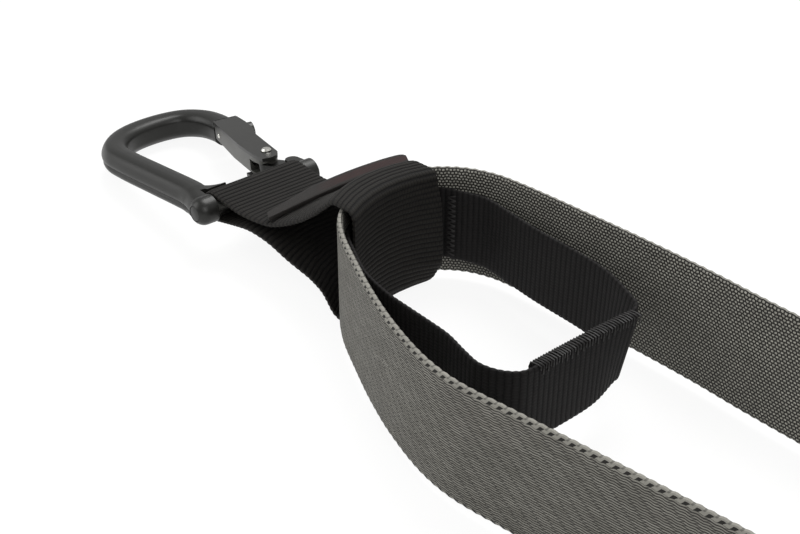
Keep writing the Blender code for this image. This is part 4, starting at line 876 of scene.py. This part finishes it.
# %% Lay the straps of both sides
GREY = ("grey_webbing", {"faces": [strap_inner, strap_outer], "step": 0.0009, "tooth": (0.0029, 0.0002)})
BLACK = ("black_webbing", {"faces": [handle_nylon], "step": 0.00063, "rib": (0.0019, 0.25)})
AMBER = ("amber_webbing", {"faces": [amber_tape], "step": 0.00063})
for prefix, side in SIDES:
    for word, route, thick, width, (slot, weave), closed, body, held, rests in (
            ("strap_hank", hank_stations, STRAP_THICK, STRAP_WIDTH, GREY, False, "webbing", "folded",
             ["floor"]),
            ("hank_tie", tie_stations, TIE_THICK, TIE_WIDTH, BLACK, True, "webbing", "folded",
             [f"{prefix}_strap_hank"]),
            ("strap_end", strap_end_stations, STRAP_THICK, STRAP_WIDTH, GREY, False, "webbing", "laid",
             [f"{prefix}_buckle_frame"]),
            ("pull_tab", pull_tab_stations, WEB_THICK, PULL_TAB_WIDTH, AMBER, False, "webbing", "laid",
             [f"{prefix}_strap_end"]),
            ("handle_webbing", handle_stations, WEB_THICK, WEB_WIDTH, BLACK, True, f"{prefix}_handle",
             "folded", [f"{prefix}_grip_tube"]),
            ("foot_cradle", cradle_stations, WEB_THICK, WEB_WIDTH, BLACK, False, f"{prefix}_cradle",
             "laid", [f"{prefix}_handle_webbing"])):
        node = f"{prefix}_{word}"
        piece = lay_strap(f"dressed_{node}", route(side), thick, width, closed=closed, **weave)
        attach(piece, body)
        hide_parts(node)

# %% [markdown]
# ## Metal
# The carabiner, gate and lever are aluminium with a matt black anodised layer: the metal under it scatters
# light broadly, so it reads as dark grey satin.

# %% Metal and plastic finishes
def satin(name, base, roughness, grain, metallic=0.35):
    """A finish with a fine blasted grain and cloudy wear."""
    material, tree, shader = new_material(name)
    place = add(tree, "ShaderNodeTexCoord").outputs["Object"]
    cloud = noise(tree, place, 60.0, 4.0)
    plug(tree, shader, {
        "Base Color": worn(tree, srgb(base), cloud, 0.85, 1.15),
        "Roughness": ranged(tree, cloud, roughness - 0.05, roughness + 0.05),
        "Normal": bump(tree, noise(tree, place, grain, 3.0), 0.10, 0.0001), "Metallic": metallic})
    return material


forged_black = satin("black_anodised_forged_aluminium", "21211f", 0.41, 2500.0)
stamped_black = satin("black_anodised_stamped_aluminium", "2d2d2b", 0.35, 3000.0)
machined_black = satin("black_anodised_machined_aluminium", "454541", 0.36, 3000.0)
zinc = satin("zinc_plated_steel", "b9b9b4", 0.34, 2500.0, 1.0)
bright = satin("polished_steel_rivet", "e4e3dc", 0.25, 3000.0, 1.0)
nylon = satin("moulded_black_nylon", "222222", 0.50, 1600.0, 0.0)
finishes = {"gate_pin": bright, "captive_bar": zinc, "gate_spring": zinc, "lever_spring": zinc}
for prefix, side in SIDES:
    for word in ("buckle_frame", "cam_pin", "strap_bar", "cam_spring"):
        finishes[f"{prefix}_{word}"] = zinc
    for word in ("cam_lever", "grip_tube", "inner_end_cap", "outer_end_cap", "cradle_slide"):
        finishes[f"{prefix}_{word}"] = nylon
for name, material in finishes.items():
    paint(nodes[name], material)
print("finishes set on the frame's nodes")

# %% [markdown]
# ## Carabiner body
# Forging presses a bar between two dies, so the section is not round: two soft ridges run along its top, its
# inner side is flat, and a narrow groove runs low on its outer side. The section is swept along a route.

# %% Sizes of the carabiner
ROD_RADIUS, BAR_CLEAR_WIDTH, BOSS_RADIUS, BOSS_LENGTH = 0.0053, 0.0364, 0.0047, 0.0074
CARABINER_LENGTH, SPINE_OFFSET, BAR_HOLE_RADIUS = 0.0798, 0.0175, 0.0027
turn = Euler((CARABINER_ROLL, CARABINER_TILT, math.pi - CARABINER_YAW), "XYZ")
carabiner_place = Matrix.Translation(BAR_CENTRE) @ turn.to_matrix().to_4x4()
LENGTH_SHARES = [
    0.004, 0.044, 0.100, 0.150, 0.214, 0.462, 0.695, 0.798, 0.891, 0.964, 1.0, 1.0, 0.964, 0.881, 0.775,
    0.698]
BREADTH_SHARES = [
    1.190, 1.140, 1.045, 1.005, 0.995, 1.0, 1.0, 0.96, 0.771, 0.40, -0.057, -0.680, -1.110, -1.370, -1.435,
    -1.400]
# angle from the outer side, upwards, and share of the rod's radius
SECTION_SHARES = [
    (0, 0.97), (-5, 0.90), (-9, 0.82), (-13, 0.83), (-17, 0.94), (-22, 1.01), (-35, 1.03), (-60, 1.0),
    (-90, 0.98), (-118, 1.0), (-150, 0.985), (-165, 0.90), (180, 0.87), (165, 0.90), (150, 0.985),
    (128, 1.01), (108, 0.95), (92, 0.925), (76, 0.95), (56, 1.01), (40, 0.99), (20, 0.98), (8, 0.985)]


# %% Sweep and cut helpers
def poly_curve(name, lines, closed=False, radii=None):
    """A curve object with one run of straight pieces for each line of points."""
    curve = bpy.data.curves.new(name, "CURVE")
    curve.dimensions = "3D"
    curve.use_fill_caps = True
    for line in lines:
        spline = curve.splines.new("POLY")
        spline.points.add(len(line) - 1)
        spline.use_cyclic_u = closed
        for index, (point, place) in enumerate(zip(spline.points, line)):
            point.co = (*place, 1.0)
            point.radius = radii[index] if radii else 1.0
    return place_new(name, curve)


def as_mesh(guide):
    only(guide)
    bpy.ops.object.convert(target="MESH")
    return bpy.context.object


def cylinder(name, radius, depth, place, vertices, lying=True, fixed=False):
    """A cylinder along Y, or standing. fixed puts its place and turn into the mesh."""
    bpy.ops.mesh.primitive_cylinder_add(vertices=vertices, radius=radius, depth=depth, location=place,
                                        rotation=(math.pi / 2 if lying else 0.0, 0.0, 0.0))
    piece = bpy.context.object
    piece.name = piece.data.name = name
    if fixed:
        bpy.ops.object.transform_apply(location=True, rotation=True, scale=True)
    return piece


def block(size, place):
    bpy.ops.mesh.primitive_cube_add(size=1.0, location=place)
    bpy.context.object.scale = size
    bpy.ops.object.transform_apply(location=True, rotation=False, scale=True)
    return bpy.context.object


def cut(piece, tool, operation):
    """A Boolean that is applied at once and uses its tool up."""
    step = piece.modifiers.new(operation.lower(), "BOOLEAN")
    step.operation = operation
    step.solver = "EXACT"
    step.object = tool
    only(piece)
    bpy.ops.object.modifier_apply(modifier=step.name)
    bpy.data.objects.remove(tool, do_unlink=True)


# %% Sweep the bar
section = [at(-math.cos(math.radians(angle)), math.sin(math.radians(angle))) * ROD_RADIUS * share
           for angle, share in SECTION_SHARES]
section = catmull(section + section[:1], 0.0005)[:-1]
section_guide = poly_curve("bar_section", [section], closed=True)
route = catmull([at(CARABINER_LENGTH * along, SPINE_OFFSET * across)
                 for along, across in zip(LENGTH_SHARES, BREADTH_SHARES)], 0.0012)
radii = [min(1.0, 0.80 + 0.20 * (place - route[0]).length / (2 * BOSS_RADIUS)) for place in route]
body = poly_curve("dressed_carabiner_body", [route], radii=radii)
body.data.bevel_mode = "OBJECT"
body.data.bevel_object = section_guide
body = as_mesh(body)
bpy.data.objects.remove(section_guide, do_unlink=True)
edit(body, weld, lambda: bpy.ops.mesh.normals_make_consistent(inside=False), select="SELECT")
print("swept bar", size_mm(body), "mm")

# %% [markdown]
# ### Boss
# The near end of the captive bar sits in a domed boss. It meets the swept bar in a crease, as on the forging.
# A hollow-fronted shoulder fills the corner inside it. The webbing's slot and the bar's hole are cut last.

# %% Boss and slot
BOSS_OVERLAP, DOME_ROUND, SCREW_SINK, SCREW_THICK = 0.004, 0.0040, 0.0011, 0.0010
SHOULDER, SHOULDER_Y, SHOULDER_HEIGHT, SHOULDER_OVERLAP, SHOULDER_RIM = 0.0080, 0.0120, 0.0078, 0.001, 0.0006
inner = BAR_CLEAR_WIDTH / 2
boss = cylinder("boss", BOSS_RADIUS, BOSS_LENGTH + BOSS_OVERLAP,
                (0.0, inner + (BOSS_LENGTH - BOSS_OVERLAP) / 2, 0.0), 64)
bevel(boss, DOME_ROUND, 8)
cut(body, boss, "UNION")

web_room = BAR_RADIUS + ANCHOR_THICK + 3 * SEAT_GAP
shoulder = block((SHOULDER + 2 * SHOULDER_OVERLAP, SHOULDER, SHOULDER_HEIGHT),
                 (web_room + SHOULDER / 2 - SHOULDER_OVERLAP, SHOULDER_Y, 0.0))
hollow = cylinder("hollow", SHOULDER - SHOULDER_RIM, 0.02,
                  (web_room + SHOULDER, SHOULDER_Y - SHOULDER / 2, 0.0), 64, lying=False)
cut(shoulder, hollow, "DIFFERENCE")
bevel(shoulder, 0.0016, 4, 60.0)
cut(body, shoulder, "UNION")

cut(body, block((2 * web_room, BAR_CLEAR_WIDTH, 4 * web_room), (0.0, 0.0, 0.0)), "DIFFERENCE")
cut(body, cylinder("bar_hole", BAR_HOLE_RADIUS, 0.08, (0.0, 0.0, 0.0), 48), "DIFFERENCE")
body.data.transform(carabiner_place)
paint(body, forged_black)
smooth(body, 45.0)
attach(body, "carabiner")
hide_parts("carabiner_body")
print("body", size_mm(body), "mm,", len(body.data.polygons), "faces")

# %% [markdown]
# ### Bar screw
# The screw that holds the bar is sunk into the boss until its flat head is flush with the dome.

# %% Bar screw
screw = cylinder("dressed_bar_screw", BAR_HOLE_RADIUS - 0.00015, SCREW_THICK,
                 (0.0, inner + BOSS_LENGTH - SCREW_SINK, 0.0), 48, fixed=True)
bevel(screw, 0.0002, 2)
screw.data.transform(carabiner_place)
paint(screw, forged_black)
smooth(screw, 35.0)
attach(screw, "carabiner")
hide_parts("bar_screw")

# %% [markdown]
# ### Gate, lever and hinge bracket
# These keep the frame's shapes. Each copy is welded, its flat sides are made whole, and its edges are
# rounded a little, as tumbling does. The folded lever also has a round nose.

# %% Round the edges
HINGE_ALONG, HINGE_ACROSS, GATE_LENGTH, GATE_TURN = 0.0143, 0.0146, 0.0418, math.radians(13.2)
gate_place = carabiner_place @ Matrix.Translation((HINGE_ALONG, -HINGE_ACROSS, 0.0))
gate_place = gate_place @ Matrix.Rotation(-GATE_TURN, 4, "Z") @ Matrix.Translation((0.0, 0.0, 0.0008))


def world_copy(name, *steps):
    """A welded copy of a frame node, with its place in the mesh."""
    piece = place_new(f"dressed_{name}", nodes[name].data.copy())
    piece.data.transform(nodes[name].matrix_world)
    edit(piece, weld, *steps, select="SELECT")
    return piece


def rounded_copy(name, width, material, part_body, nose=None):
    """A copy of a frame node with round edges. nose is (from share of the gate's run, radius)."""
    piece = world_copy(name, lambda: bpy.ops.mesh.dissolve_limited(angle_limit=math.radians(2.0)))
    if nose:
        into = gate_place.inverted()
        places = [into @ vertex.co for vertex in piece.data.vertices]

        def at_nose(edge):
            one, two = (places[index] for index in edge.vertices)
            return abs((two - one).normalized().z) > 0.99 and min(one.x, two.x) > GATE_LENGTH * nose[0]

        edit_where(piece, "EDGE", at_nose,
                   lambda: bpy.ops.mesh.bevel(offset=nose[1], segments=6, affect="EDGES"))
    bevel(piece, width, 3, 40.0)
    smooth(piece, 40.0)
    even = piece.modifiers.new("flat_faces", "WEIGHTED_NORMAL")
    even.keep_sharp = True
    bpy.ops.object.modifier_apply(modifier="flat_faces")
    paint(piece, material)
    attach(piece, part_body)
    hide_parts(name)
    print(f"{piece.name}: {len(piece.data.polygons)} faces")


rounded_copy("gate", 0.0005, machined_black, "gate_arm")
rounded_copy("hinge_bracket", 0.0006, forged_black, "carabiner")
rounded_copy("lever", 0.0005, stamped_black, "lever_arm", nose=(0.90, 0.0011))

# %% [markdown]
# ### Leaf spring
# On the real carabiner the leaf between gate and lever is pressed flat when the lever is squeezed, towards
# the gate's back. Here it keeps the frame's shape and rides with the gate.

# %% Leaf spring
leaf = world_copy("lever_spring")
smooth(leaf, 40.0)
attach(leaf, "gate_arm")
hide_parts("lever_spring")
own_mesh(leaf)
print("leaf spring", len(leaf.data.polygons), "faces")

# %% [markdown]
# ### Nose pin
# A small bright pin crosses the gate near its nose. Only its domed head, on the gate's inner side, is made.

# %% Nose pin
PIN_RADIUS, PIN_HEIGHT, PIN_SIDE, PIN_LEVEL, PIN_FROM_NOSE = 0.0009, 0.0008, 0.0043, 0.0004, 0.0046
nose_pin = cylinder("gate_nose_pin", PIN_RADIUS, PIN_HEIGHT,
                    (GATE_LENGTH - PIN_FROM_NOSE, PIN_SIDE, PIN_LEVEL), 32, fixed=True)
bevel(nose_pin, 0.00035, 4)
nose_pin.data.transform(gate_place)
paint(nose_pin, bright)
smooth(nose_pin, 35.0)
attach(nose_pin, "gate_arm")
print("nose pin", size_mm(nose_pin), "mm")

# %% [markdown]
# ## Seams
# Each stitch of bonded black thread dips into the weave at both ends. A bar tack crosses the loop where it
# leaves the anchor, overcast stitches bind the upper edge of the loop's cross side, and four tacks hold each
# foot cradle to its handle.

# %% Thread
THREAD_RADIUS, THREAD_RISE, THREAD_SINK, STITCH_LEAN = 0.00022, 0.00014, 0.0003, 0.0012
thread_black, tree, shader = new_material("bonded_black_polyester_thread")
twist = noise(tree, add(tree, "ShaderNodeTexCoord").outputs["Object"], 1500.0, 2.0)
plug(tree, shader, {"Base Color": blend(tree, twist, srgb("121110"), srgb("262423")), "Roughness": 0.6})


def dipping(start, stop, out):
    """One stitch: it lies on the cloth between start and stop and dips in at both ends."""
    run = stop - start
    return [start - out * THREAD_RISE, start + run * 0.18 + out * THREAD_RISE,
            start + run * 0.82 + out * THREAD_RISE, stop - out * THREAD_RISE]


def bar_tack(middle, along, out, width, height, pitch):
    """A zigzag of stitches whose band runs up the webbing."""
    lines = []
    for turn in range(int(height / pitch)):
        low = middle + at(z=pitch * turn - height / 2)
        side = along * width / 2 * (1 if turn % 2 else -1)
        lines.append(dipping(low - side, low + side + at(z=pitch), out))
    return lines


def overcast(line, half_thick, depth):
    """Stitches that climb one face, cross the edge and go down the other face, each with its own lean."""
    lines = []
    for index, (point, after) in enumerate(zip(line, line[1:])):
        along = (after - point).normalized()
        out = at(-along.y, along.x)
        lean = along * STITCH_LEAN * math.sin(index * 2.4)
        down = at(z=-depth * (0.55 + 0.65 * math.sin(index * 1.7) ** 2))
        face = half_thick + THREAD_RISE
        lines.append([point + out * (face - THREAD_SINK) + down + lean - along * 0.0006,
                      point + out * face + down * 0.8 + lean * 0.8 - along * 0.0005,
                      point + out * face * 0.97 + at(z=-0.0001),
                      point + at(z=THREAD_RISE) + along * 0.0002,
                      point - out * face * 0.97 + at(z=-0.0001) + along * 0.0005,
                      point - out * (face - THREAD_SINK) + down * 0.8 + along * 0.0007])
    return lines


def sew(name, lines, part_body):
    """All stitches of one seam, as one mesh of round threads."""
    threads = poly_curve(name, lines)
    threads.data.bevel_depth = THREAD_RADIUS
    threads.data.bevel_resolution = 1
    seam = as_mesh(threads)
    paint(seam, thread_black)
    smooth(seam, 60.0)
    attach(seam, part_body)
    print(f"{name}: {len(lines)} stitches, {len(seam.data.polygons)} faces")


# %% Sew the seams
TACK_WIDTH, BINDING_DEPTH = 0.0026, 0.0032
edge_line = [p + at(ply / 2) for p in catmull(cross[::-1], 0.0010)]
edge_line = raised(edge_line, LOOP_LIFT + LOOP_WIDTH)
sew("loop_edge_binding", overcast(edge_line, LOOP_THICK + SEAT_GAP / 2, BINDING_DEPTH), "webbing")
beside_anchor = next(index for index, p in enumerate(loop_line) if p.x > 0.0095 and p.y > 0.015)
along = (loop_line[beside_anchor + 1] - loop_line[beside_anchor - 1]).normalized()
inward = at(along.y, -along.x)
tack_middle = loop_line[beside_anchor] + inward * LOOP_THICK / 2
sew("loop_bar_tack", bar_tack(tack_middle, along, inward, TACK_WIDTH, LOOP_WIDTH * 0.88, 0.0009), "webbing")
for prefix, side in SIDES:
    lines = []
    for hand in (-1, 1):
        face_y = handle_y(side) + hand * (SIDE_RUN_Y + WEB_THICK * 1.5 + CRADLE_GAP)
        for x in (SEAM_X - CRADLE_SEAM * 0.3, SEAM_X + CRADLE_SEAM * 0.3):
            lines += bar_tack(at(x, face_y, GRIP_AXIS_Z), at(1.0), at(0.0, hand), TACK_WIDTH,
                              WEB_WIDTH * 0.84, 0.0010)
    sew(f"{prefix}_cradle_tacks", lines, f"{prefix}_cradle")

# %% [markdown]
# ## Foam grips
# Closed-cell rubber foam sleeves. Each starts as a cylinder whose ends are inset and bridged to make the
# bore, and its rims are bevelled, because cut foam edges are soft.

# %% Foam grips
def cell_foam():
    material, tree, shader = new_material("closed_cell_rubber_foam")
    place = add(tree, "ShaderNodeTexCoord").outputs["Object"]
    cells = add(tree, "ShaderNodeTexVoronoi", {"Vector": place, "Scale": 900.0}).outputs["Distance"]
    plug(tree, shader, {
        "Base Color": blend(tree, noise(tree, place, 90.0, 5.0), srgb("1b1b1c"), srgb("2c2c2d")),
        "Normal": bump(tree, cells, 0.5, 0.0003), "Roughness": 0.92})
    return material


foam = cell_foam()
FOAM_RADIUS, TUBE_RADIUS, FOAM_ROUND = 0.0175, 0.0150, 0.0009
wall = FOAM_RADIUS - TUBE_RADIUS - SEAT_GAP
for prefix, side in SIDES:
    grip = cylinder(f"dressed_{prefix}_foam_grip", FOAM_RADIUS, 2 * FOAM_HALF_LENGTH,
                    (GRIP_X, handle_y(side), GRIP_AXIS_Z), 96, fixed=True)
    edit_where(grip, "FACE", lambda face: abs(face.normal.y) > 0.9,
               lambda: bpy.ops.mesh.inset(thickness=wall, use_individual=True),
               bpy.ops.mesh.bridge_edge_loops)
    bevel(grip, FOAM_ROUND, 4, 60.0)
    smooth(grip, 35.0)
    paint(grip, foam)
    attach(grip, f"{prefix}_grip")
    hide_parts(f"{prefix}_foam_grip")
    print(grip.name, len(grip.data.polygons), "faces")
